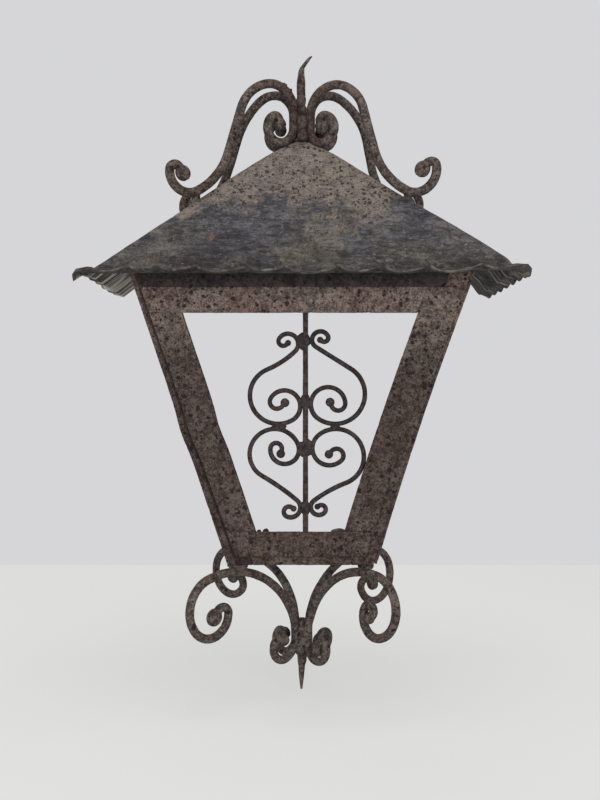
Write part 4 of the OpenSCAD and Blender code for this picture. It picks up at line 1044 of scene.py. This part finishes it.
def strips_of_front():
    """Strips on the front: node, then start near, start far, end near and end far as x and z."""
    body = bpy.context.scene.lantern_body
    open_low, open_high = float(SILL_HIGH[2]), float(RAIL_LOW[2])
    low = float(SILL_LOW[2])

    def left(z):
        share = (PANEL_TOP - z) / (PANEL_TOP - BODY_BOTTOM)
        return body.left_margin + (body.left_margin_low - body.left_margin) * share - half_width(z)

    def inner_left(z):
        return body.left_margin + body.left_stile - half_width(z)

    def right(z):
        return half_width(z) - body.right_margin

    w = body.right_stile
    return {
        "front_stile_left": [(left(open_low), open_low), (inner_left(open_low), open_low),
                             (left(open_high), open_high), (inner_left(open_high), open_high)],
        "front_stile_right": [(right(open_low) - w, open_low), (right(open_low), open_low),
                              (right(PANEL_TOP) - w, PANEL_TOP), (right(PANEL_TOP), PANEL_TOP)],
        "front_rail_top": [(left(open_high), open_high), (left(PANEL_TOP), PANEL_TOP),
                           (right(open_high) - w, open_high), (right(PANEL_TOP) - w, PANEL_TOP)],
        "front_rail_bottom": [(left(low), low), (left(open_low), open_low),
                              (right(low), low), (right(open_low), open_low)],
    }


def slanted(side):
    """Turns depth, distance out of the side and length up the slant into the lantern's frame."""
    rise = PANEL_TOP - BODY_BOTTOM
    tilt = math.atan2(half_width(PANEL_TOP) - half_width(BODY_BOTTOM), rise)
    c, s = math.cos(tilt), math.sin(tilt)
    foot = half_width(BODY_BOTTOM)
    return lambda y, out, up: np.array([side * (foot + out * c + up * s), y, BODY_BOTTOM - out * s + up * c])


class LANTERN_OT_strips(bpy.types.Operator):
    """Flat strips laid over the front and the two sides"""
    bl_idname = "lantern.strips"
    bl_label = "Flat strips"

    def execute(self, context):
        body = context.scene.lantern_body
        iron = finish_of("strip")
        face = -LEG_FACE - body.strip_sheet
        for seed, (node, quad) in enumerate(strips_of_front().items()):
            flat_bar(node + "_plate", [(x, face, z) for x, z in quad], (0, 1, 0), body.strip_sheet, iron,
                     (node,), 100)
        rise = PANEL_TOP - BODY_BOTTOM
        taper = (half_width(PANEL_TOP) - half_width(BODY_BOTTOM)) / rise
        slope_len = math.hypot(rise, rise * taper)
        foot = body.strip_sheet * taper
        front, rear = -LEG_FACE, -float(STRAP_HIGH[1] - STRAP_LOW[1])
        near, far = front + body.side_stile, rear - body.side_stile
        for word, side in (("left", -1), ("right", 1)):
            at = slanted(side)
            inward = at(0, -1, 0) - at(0, 0, 0)
            spans = {
                "stile_front": (front, near, foot, slope_len + 14 * MM),
                "stile_rear": (far, rear, foot, slope_len),
            }
            rails = {
                "rail_top": (slope_len - body.top_rail, slope_len),
                "rail_bottom": (foot, foot + body.bottom_rail),
            }
            for seed, (part, (y0, y1, low, high)) in enumerate(spans.items()):
                quad = [at(y0, 0, low), at(y1, 0, low), at(y0, 0, high), at(y1, 0, high)]
                flat_bar(f"{word}_{part}_plate", quad, inward, body.strip_sheet, iron,
                         (f"{word}_{part}",), 160 + 20 * side + 5 * seed, step=1.1 * MM)
            for seed, (part, (low, high)) in enumerate(rails.items()):
                quad = [at(near, 0, low), at(near, 0, high), at(far, 0, low), at(far, 0, high)]
                flat_bar(f"{word}_{part}_plate", quad, inward, body.strip_sheet, iron,
                         (f"{word}_{part}",), 240 + 20 * side + 5 * seed, step=1.1 * MM)
        return {"FINISHED"}


def angle_section(leg, sheet, rounding):
    """Rounded outline of angle iron: place along the face leg, place along the side leg, outward direction.

    The corner is at zero; both legs run in the positive direction."""
    n = 24
    a = np.linspace(rounding, leg - rounding, n)
    h = rounding * 0.3
    b = np.linspace(sheet + rounding, leg - rounding, n)
    rows = [(h, h, -0.7, -0.7)] + [(v, 0, 0, -1) for v in a] + [(leg - h, h, 0.7, -0.7)]
    rows += [(leg, sheet / 2, 1, 0), (leg - h, sheet - h, 0.7, 0.7)]
    rows += [(v, sheet, 0, 1) for v in b[::-1]] + [(sheet + h, sheet + h, 0.7, 0.7)]
    rows += [(sheet, v, 1, 0) for v in b] + [(sheet - h, leg - h, 0.7, 0.7), (sheet / 2, leg, 0, 1)]
    rows += [(h, leg - h, -0.7, 0.7)] + [(0, v, -1, 0) for v in a[::-1]]
    return np.array(rows)


def post(node, side, face, inward, seed, painted_shade=0.0):
    """Angle iron carried up the slanted corner from the level foot to the roof's underside."""
    body = bpy.context.scene.lantern_body
    roof = bpy.context.scene.lantern_roof
    section = angle_section(body.post_leg, body.post_sheet, 0.5 * MM)
    rise = PANEL_TOP - BODY_BOTTOM
    taper = (half_width(PANEL_TOP) - half_width(BODY_BOTTOM)) / rise
    widen = math.hypot(1, taper)
    # Distance inward from the body's outside, measured level, and depth from the post's face
    inset = (body.strip_sheet + section[:, 0]) * widen
    y = face + inward * section[:, 1]
    x0 = half_width(BODY_BOTTOM) - inset
    fall = roof.height / (roof.width / 2)
    peak = roof.fold_z + roof.height - 2.2 * MM
    z1 = (peak - fall * (x0 - taper * BODY_BOTTOM)) / (1 + fall * taper)
    x1 = x0 + taper * (z1 - BODY_BOTTOM)
    first = np.stack([side * x0, y, np.full_like(x0, BODY_BOTTOM)], axis=-1)
    last = np.stack([side * x1, y, z1], axis=-1)
    outs = np.stack([-side * section[:, 2], inward * section[:, 3], np.zeros(len(section))], axis=-1)
    rings = drawn(first, last, outs, 1.6 * MM, 0.4 * MM)
    rings, hole = weathered(rings, outs, 0.5 * MM, 4.4 * MM, seed, 0.2 * MM)
    shown = (section[:, 3] < -0.5) & (section[:, 0] > 1.2 * MM)
    # Painted shadow in the gap beside the strip, and painted shade over the rest of the margin that shows
    down = np.clip((PANEL_TOP - rings[..., 2]) / rise, 0, 1)
    margin = body.left_margin + (body.left_margin_low - body.left_margin) * down
    gap = smooth_step((inset[None] - margin + 2.8 * MM) / (0.9 * MM))
    hole = np.maximum(hole, np.where(shown, painted_shade + (1.0 - painted_shade) * gap, 0.0) * (painted_shade > 0))
    # Painted highlight on the outermost 1.2 mm of the face leg, at the post's outer corner
    worn_and_lit = np.where((section[:, 3] < -0.5) & ~shown, 0.3, 0.0)
    oriented(node + "_angle", bent(rings), rings_to_faces(len(rings), rings.shape[1]), finish_of("strip"),
             (node,), hole, np.broadcast_to(worn_and_lit, hole.shape))


class LANTERN_OT_frame(bpy.types.Operator):
    """Corner posts and the bars between them"""
    bl_idname = "lantern.body_frame"
    bl_label = "Posts and bars"

    def execute(self, context):
        rear = -float(STRAP_HIGH[1] - STRAP_LOW[1])
        # The front left post gets painted shade on its margin and painted shadow beside the strip
        post("post_front_left", -1, -LEG_FACE, 1, 300, 0.34)
        post("post_front_right", 1, -LEG_FACE, 1, 310)
        post("post_rear_left", -1, rear, -1, 320)
        post("post_rear_right", 1, rear, -1, 330)
        for node in ("top_bar_left", "top_bar_right", "bottom_bar_left", "bottom_bar_right", "bottom_bar_rear"):
            copied(node, finish_of("strip"), 0.5 * MM)
        low, high = corners("bottom_bar_front")
        face = low[1]
        taper = (half_width(high[2]) - half_width(low[2]))
        quad = [(low[0] + taper, face, low[2]), (low[0], face, high[2]),
                (high[0] - taper, face, low[2]), (high[0], face, high[2])]
        flat_bar("bottom_bar_front_plate", quad, (0, 1, 0), high[1] - low[1], finish_of("strip"),
                 ("bottom_bar_front",), 350)
        self.dark_bar()
        return {"FINISHED"}

    def dark_bar(self):
        """Dark bar under the eave, painted dark as sooty iron and as the eave's shade; its right end is rounded at
        the bottom.
        """
        low, high = corners("top_bar_front")
        high = high + np.array([3.6 * MM, 0, 0])
        rounding, step = 9 * MM, 1.2 * MM
        xs = np.linspace(low[0], high[0], int((high[0] - low[0]) / step))
        into = np.clip((xs - (high[0] - rounding)) / rounding, 0, 1)
        bottom = low[2] + (PANEL_TOP - low[2]) * smooth_step(3 * into) + rounding * (1 - np.sqrt(1 - into**2))
        section = outline(1.0, high[1] - low[1], 1.0 / 18, 0.4 * MM)
        across = np.clip(section[:, 0], 0, 1)[None]
        z = bottom[:, None] + across * (high[2] - bottom)[:, None]
        rings = np.stack([np.broadcast_to(xs[:, None], z.shape),
                          np.broadcast_to(low[1] + section[:, 1][None], z.shape), z], axis=-1)
        outs = np.stack([np.zeros(len(section)), section[:, 3], section[:, 2]], axis=-1)
        rings, hole = weathered(rings, outs[None], 0.3 * MM, 5 * MM, 361, 0.3 * MM)
        bare = 0.6 * smooth_step((xs - high[0] + 34 * MM) / (12 * MM))[:, None] * np.ones(hole.shape[1])
        oriented("top_bar_front_plate", rings, rings_to_faces(len(rings), rings.shape[1]), finish_of("soot_and_shade"),
                 ("top_bar_front",), hole, bare)


# Grilles. Each pair is a turn in degrees and a radius in millimetres.
SCROLLS = {
    "upper_left": ([(-166, 4), (-196, 8.7), (-20, 81), (187, 24), (208, 13.5), (175, 6)], 225, -1, 1),
    "upper_right": ([(155, 3.5), (207, 7.1), (0, 34.5), (-182, 25), (-230, 14.5), (-165, 6)], -34, 1, 1),
    "lower_left": ([(188, 5), (211, 12.5), (216, 22), (-10, 212), (-160, 8.5), (-195, 4.6)], 75, -1, -1),
    "lower_right": ([(-188, 6), (-187, 15), (-196, 24.5), (16, 115.5), (189, 7), (165, 3.9)], 52, 1, -1),
}
BIG_EYE = 3.9 * MM
SMALL_EYE = 2.7 * MM


def scroll_rows(key, tall):
    """Rings of one grille scroll in its plane, scaled to a height and pushed against the bar at x = 0."""
    forge = bpy.context.scene.lantern_forge
    arcs, heading, side, up = SCROLLS[key]
    wire = forge.wire / 2
    start = np.array([[0, 0, float(heading)]])
    plain = np.concatenate([start, arc_run((0, 0, heading), in_metres(arcs), 1.0 * MM)])
    k = (tall - 2 * wire) / np.ptp(plain[:, 1])
    scaled = [(turn, size * k * MM) for turn, size in arcs]
    path = np.concatenate([start, arc_run((0, 0, heading), scaled, 0.9 * MM)])
    reach = wire + 0.1 * MM
    half = forge.grille_bar / 2
    path[:, 0] += -half - reach - path[:, 0].max() if side < 0 else half + reach - path[:, 0].min()
    path[:, 1] += reach - path[:, 1].min() if up > 0 else -reach - path[:, 1].max()
    eyes = (SMALL_EYE, BIG_EYE) if up > 0 else (BIG_EYE, SMALL_EYE)
    return forged_rings(path, wire, eyes[0] * k, eyes[1] * k)


def front_plane():
    low, high = corners("front_grille_bar")
    middle = corners("front_scroll_upper_left")[0][2]
    origin = np.array([(low[0] + high[0]) / 2, (low[1] + high[1]) / 2, middle])
    axes = np.array([[1, 0, 0], [0, 0, 1], [0, -1, 0]])
    return lambda p: p @ axes + origin


def side_plane(side):
    """Plane of a side grille: x towards the wall, y up the slant, both turned for the right side."""
    body = bpy.context.scene.lantern_body
    forge = bpy.context.scene.lantern_forge
    at = slanted(side)
    rise = PANEL_TOP - BODY_BOTTOM
    taper = (half_width(PANEL_TOP) - half_width(BODY_BOTTOM)) / rise
    slope_len = math.hypot(rise, rise * taper)
    open_low = body.strip_sheet * taper + body.bottom_rail
    middle = (open_low + slope_len - body.top_rail) / 2
    y = -(LEG_FACE + float(STRAP_HIGH[1] - STRAP_LOW[1])) / 2
    origin = at(y, -body.strip_sheet - forge.grille_bar / 2, middle)
    axes = np.array([at(1, 0, 0) - at(0, 0, 0), at(0, 0, 1) - at(0, 0, 0), at(0, 1, 0) - at(0, 0, 0)])
    return lambda p: p @ axes + origin


def square_bar(node, first, last, across, deep, seed):
    """Square grille bar between two places; across and deep are its two directions."""
    size = bpy.context.scene.lantern_forge.grille_bar
    half = size / 2 * (across + deep)
    corner = np.array(first) - half
    end = np.array(last) - half
    quad = [corner, corner + size * across, end, end + size * across]
    flat_bar(node + "_square", quad, deep, size, finish_of("wire"), (node,), seed,
             step=0.8 * MM, edge=0.6 * MM, pit=0.3 * MM, gap=3.4 * MM)


class LANTERN_OT_grilles(bpy.types.Operator):
    """Square bars, wire scrolls and weld beads of the three grilles"""
    bl_idname = "lantern.grilles"
    bl_label = "Grilles"

    # Beads of the front grille in millimetres: sideways, height, width and length
    BEADS = [(1.2, -55.5, 12.5, 15), (3, -107.5, 9, 15), (2.2, -145.6, 13, 17), (3, -197, 9.5, 12),
             (-19.5, -127.9, 13, 5.5), (28, -127, 8.5, 7)]

    def execute(self, context):
        forge = context.scene.lantern_forge
        iron = finish_of("wire")
        low, high = corners("front_grille_bar")
        x, y = (low[0] + high[0]) / 2, (low[1] + high[1]) / 2
        square_bar("front_grille_bar", (x, y, low[2]), (x, y, high[2]), np.array([1.0, 0, 0]),
                   np.array([0, 1.0, 0]), 400)
        plane = front_plane()
        for seed, key in enumerate(SCROLLS):
            node = "front_scroll_" + key
            low, high = corners(node)
            rows = scroll_rows(key, high[2] - low[2])
            swept(node + "_wire", rows, plane, iron, (node,), 420 + 6 * seed, 14, 0.55, 2.6 * MM)
        for seed, (across, up, wide, tall) in enumerate(self.BEADS):
            size = (wide * MM, forge.grille_bar * 1.25, tall * MM)
            blob(f"weld_front_{seed + 1}", (across * MM, y, up * MM), size, iron, 440 + 3 * seed)
        for word, side in (("left", -1), ("right", 1)):
            self.side_grille(word, side, iron)
        return {"FINISHED"}

    def side_grille(self, word, side, iron):
        forge = bpy.context.scene.lantern_forge
        plane = side_plane(side)
        low, high = corners(word + "_grille_bar")
        up = plane(np.array([0, 1.0, 0])) - plane(np.array([0, 0, 0.0]))
        out = plane(np.array([0, 0, 1.0])) - plane(np.array([0, 0, 0.0]))
        origin = plane(np.array([0, 0, 0.0]))
        margin = abs(out[2]) * forge.grille_bar / 2
        start = origin + up * (low[2] + margin - origin[2]) / up[2]
        end = origin + up * (high[2] - margin - origin[2]) / up[2]
        square_bar(word + "_grille_bar", start, end, np.array([0, 1.0, 0]), -out, 460 + side)
        for level, keys in (("upper", ("upper_left", "upper_right")), ("lower", ("lower_left", "lower_right"))):
            node = f"{word}_scrolls_{level}"
            tall = (corners(node)[1][2] - corners(node)[0][2] - abs(out[2]) * forge.wire) / up[2]
            for seed, key in enumerate(keys):
                replaced = (node,) if seed == 0 else ()
                swept(f"{node}_{key[6:]}", scroll_rows(key, tall), plane, iron, replaced,
                      480 + 9 * side + 3 * seed, 12, 0.55, 2.6 * MM)
        for seed, height in enumerate((-66 * MM, -18 * MM, 18 * MM, 66 * MM)):
            centre = plane(np.array([0, height, 0]))
            blob(f"weld_{word}_{seed + 1}", centre, (8 * MM, 10 * MM, 14 * MM), iron, 500 + 3 * seed + side)


class LANTERN_OT_fittings(bpy.types.Operator):
    """Wall strap, rivets, tab remains, lamp bracket and lampholder"""
    bl_idname = "lantern.fittings"
    bl_label = "Strap and lampholder"

    def execute(self, context):
        iron = finish_of("strip")
        for node in ("wall_strap", "strap_rivets", "lamp_bracket"):
            copied(node, iron, 0.5 * MM)
        self.clips()
        metal = finish_of("brass")
        for node in ("upper_lock_nut", "lower_lock_nut"):
            copied(node, metal, 0.4 * MM)
        self.tube(metal)
        self.holder(metal)
        return {"FINISHED"}

    def clips(self):
        """Torn tabs of a pane behind the sill, thin and rounded on top: height sin(pi (0.1 + 0.85 t)^1.3)^0.6."""
        low, high = corners("glass_clips")
        left, right = low[0] / MM, high[0] / MM
        t = np.linspace(0, 1, 15)[:, None]
        y = np.array([low[1], high[1], high[1], low[1]])
        rings, faces, dark = [], [], []
        # Left side, width and height above the sill in millimetres, and dirt
        for x, wide, tall, dirt in ((left, 3.5, 1.6, 0.7), (left + 5, 5, 2.5, 0.7), (right - 11, 12, 2.6, 0.2)):
            top = float(SILL_HIGH[2]) + tall * MM * np.sin(np.pi * (0.1 + 0.85 * t) ** 1.3) ** 0.6
            z = np.where(np.arange(4) > 1, top, low[2])
            faces += rings_to_faces(len(t), 4, len(rings) * 4 * len(t))
            rings.append(np.stack([(x + wide * t) * MM + 0 * y, y + 0 * t, z], axis=-1))
            dark.append(np.full(z.shape, dirt))
        oriented("glass_clips_plates", np.concatenate(rings), faces, finish_of("bar"),
                 ("glass_clips",), np.concatenate(dark))

    def tube(self, metal):
        """Threaded tube: its outside is waved once for each turn of the thread."""
        low, high = corners("threaded_tube")
        outer, inner, pitch = (high[0] - low[0]) / 2, 3.25 * MM, 1.0 * MM
        count = int((high[2] - low[2]) / pitch * 6)
        z = np.linspace(low[2] + 0.3 * MM, high[2] - 0.3 * MM, count)
        profile = [(inner, low[2]), (outer - 0.6 * MM, low[2])] + [(outer - 0.3 * MM, v) for v in z]
        profile += [(outer - 0.6 * MM, high[2]), (inner, high[2])]

        def thread(ring, a):
            wave = 0.3 * MM * np.cos(2 * np.pi * ring[..., 2] / pitch - a)
            ends = np.ones(ring.shape[:2])
            ends[:, [0, 1, -2, -1]] = 0
            r = np.hypot(ring[..., 0], ring[..., 1])[..., None]
            ring[..., :2] *= (r + (wave * ends)[..., None]) / r
            return ring

        lathe("threaded_tube_brass", profile, (0, -STEM_Y, 0), metal, ("threaded_tube",), 40, thread)

    def holder(self, metal):
        """Porcelain body with two grooves, the screw shell with its thread, and the middle contact."""
        low, high = corners("lampholder_body")
        r, top, bottom = (high[0] - low[0]) / 2, high[2], low[2]
        shell_low, shell_high = corners("screw_shell")
        outer = (shell_high[0] - shell_low[0]) / 2
        pocket = outer + 0.2 * MM
        tall = top - bottom
        neck = r * 0.72
        floor_z = top - 12 * MM
        outside = [(r - 1.5 * MM, bottom), (r - 0.5 * MM, bottom + 0.4 * MM), (r, bottom + 1.5 * MM)]
        for share in (0.2, 0.34):
            z = bottom + share * tall
            outside += [(r, z), (r - 0.7 * MM, z + 0.6 * MM), (r - 0.7 * MM, z + 1.4 * MM), (r, z + 2 * MM)]
        outside += [(r, bottom + 0.6 * tall), (r - 0.4 * MM, bottom + 0.63 * tall), (neck + 0.6 * MM, top - 7 * MM),
                    (neck, top - 5.6 * MM), (neck, top - 1 * MM), (neck - 1 * MM, top)]
        hole = 5.1 * MM
        profile = [(pocket, bottom)] + outside + [(hole, top), (hole, floor_z), (pocket, floor_z)]
        lathe("lampholder_porcelain", profile, (0, -STEM_Y, 0), finish_of("glaze"),
              ("lampholder_body",), 96)
        inner, pitch = outer - 0.8 * MM, 3.6 * MM
        z = np.linspace(shell_low[2], shell_high[2], 56)
        profile = [(outer - 0.35 * MM, v) for v in z] + [(inner + 0.35 * MM, v) for v in z[::-1]]

        def thread(ring, a):
            wave = 0.35 * MM * np.cos(2 * np.pi * ring[..., 2] / pitch - a)
            r = np.hypot(ring[..., 0], ring[..., 1])[..., None]
            ring[..., :2] *= (r + wave[..., None]) / r
            return ring

        lathe("screw_shell_brass", profile, (0, -STEM_Y, 0), metal, ("screw_shell",), 96, thread)
        copied("centre_contact", metal, 0.3 * MM)


# Stage


class LANTERN_OT_stage(bpy.types.Operator):
    """Pale floor, soft lights, pale surroundings and the camera"""
    bl_idname = "lantern.stage"
    bl_label = "Stage"

    FLOOR_Z = -372 * MM
    FLOOR_END = 0.63
    EYE = (0, -0.988, -0.105)
    FOCAL = 45
    # The picture's middle column is 2 pixels left of the lantern's axis, on a long side of 800
    SHIFT = -2 / 800

    def execute(self, context):
        colours = context.scene.lantern_finish
        x, y0, y1 = 3.0, -3.0, self.FLOOR_END
        mesh = bpy.data.meshes.new("floor")
        mesh.from_pydata([(-x, y0, self.FLOOR_Z), (x, y0, self.FLOOR_Z), (x, y1, self.FLOOR_Z),
                          (-x, y1, self.FLOOR_Z)], [], [(0, 1, 2, 3)])
        floor = bpy.data.objects.new("floor", mesh)
        context.scene.collection.objects.link(floor)
        g = Graph("pale_floor")
        seen = g.add("ShaderNodeLightPath").outputs["Is Camera Ray"]
        g.put(g.shader.inputs["Specular IOR Level"], 0.0)
        g.put(g.shader.inputs["Emission Color"], tuple(colours.floor))
        g.put(g.shader.inputs["Emission Strength"], g.maths("MULTIPLY", seen, 0.65))
        base = g.mix(seen, tuple(colours.floor), shade(colours.floor, 0.75))
        mesh.materials.append(g.finish(base, 0.9))
        self.world(context, tuple(colours.wall))
        self.lamp("key", (0.55, -1.9, 0.2), 1.1, 15)
        self.lamp("fill", (-1.2, -1.6, -0.1), 1.5, 10)
        self.lamp("top", (0.1, -0.6, 1.5), 1.0, 5)
        self.lamp("back", (-0.4, 1.3, 0.9), 1.2, 4)
        camera = bpy.data.objects.new("camera", bpy.data.cameras.new("camera"))
        context.scene.collection.objects.link(camera)
        camera.data.lens = self.FOCAL
        camera.data.sensor_width = 36
        camera.data.shift_x = self.SHIFT
        camera.data.clip_start = 0.01
        camera.location = self.EYE
        camera.rotation_euler = (math.radians(90), 0, 0)
        context.scene.camera = camera
        context.scene.view_settings.view_transform = "Standard"
        return {"FINISHED"}

    def lamp(self, name, place, size, power):
        data = bpy.data.lights.new(name, "AREA")
        data.size = size
        data.energy = power
        obj = bpy.data.objects.new(name, data)
        bpy.context.scene.collection.objects.link(obj)
        obj.location = place
        aim = np.array([0, -0.09, -0.08]) - np.array(place)
        yaw = math.atan2(aim[0], -aim[1])
        obj.rotation_euler = (math.acos(-aim[2] / np.linalg.norm(aim)), 0, math.pi + yaw)

    def world(self, context, wall):
        """The camera and shiny surfaces see the pale backdrop; everything else gets plain white light."""
        world = bpy.data.worlds.new("studio")
        world.use_nodes = True
        context.scene.world = world
        tree = world.node_tree
        light = tree.nodes["Background"]
        light.inputs["Color"].default_value = (1, 1, 1, 1)
        light.inputs["Strength"].default_value = 0.42
        seen = tree.nodes.new("ShaderNodeBackground")
        seen.inputs["Color"].default_value = (*wall, 1)
        path = tree.nodes.new("ShaderNodeLightPath")
        either = tree.nodes.new("ShaderNodeMath")
        either.operation = "MAXIMUM"
        any_of = tree.nodes.new("ShaderNodeMath")
        any_of.operation = "MAXIMUM"
        mix = tree.nodes.new("ShaderNodeMixShader")
        link = tree.links.new
        link(path.outputs["Is Camera Ray"], either.inputs[0])
        link(path.outputs["Is Glossy Ray"], either.inputs[1])
        link(either.outputs[0], any_of.inputs[0])
        link(path.outputs["Is Transmission Ray"], any_of.inputs[1])
        link(any_of.outputs[0], mix.inputs[0])
        link(light.outputs[0], mix.inputs[1])
        link(seen.outputs[0], mix.inputs[2])
        link(mix.outputs[0], tree.nodes["World Output"].inputs["Surface"])


class LANTERN_PT_panel(bpy.types.Panel):
    bl_idname = "LANTERN_PT_panel"
    bl_label = "Wall lantern"
    bl_space_type = "VIEW_3D"
    bl_region_type = "UI"
    bl_category = "Lantern"

    def draw(self, context):
        for group in (context.scene.lantern_roof, context.scene.lantern_body, context.scene.lantern_forge,
                      context.scene.lantern_finish):
            box = self.layout.box()
            for key in group.__annotations__:
                box.prop(group, key)
        for operator in OPERATORS:
            self.layout.operator(operator.bl_idname)


GROUPS = {"lantern_roof": RoofSizes, "lantern_body": BodySizes, "lantern_forge": ForgeSizes,
          "lantern_finish": FinishColours}
OPERATORS = [LANTERN_OT_stage, LANTERN_OT_roof, LANTERN_OT_arms, LANTERN_OT_spikes, LANTERN_OT_strips,
             LANTERN_OT_frame, LANTERN_OT_grilles, LANTERN_OT_fittings]


def register():
    for cls in [*GROUPS.values(), *OPERATORS, LANTERN_PT_panel]:
        bpy.utils.register_class(cls)
    for name, group in GROUPS.items():
        setattr(bpy.types.Scene, name, PointerProperty(type=group))


def unregister():
    for name in GROUPS:
        delattr(bpy.types.Scene, name)
    for cls in reversed([*GROUPS.values(), *OPERATORS, LANTERN_PT_panel]):
        bpy.utils.unregister_class(cls)


def main():
    register()
    bpy.ops.lantern.stage()
    bpy.ops.lantern.roof()
    bpy.ops.lantern.arms()
    bpy.ops.lantern.spikes()
    bpy.ops.lantern.strips()
    bpy.ops.lantern.body_frame()
    bpy.ops.lantern.grilles()
    bpy.ops.lantern.fittings()


if __name__ == "__main__":
    main()
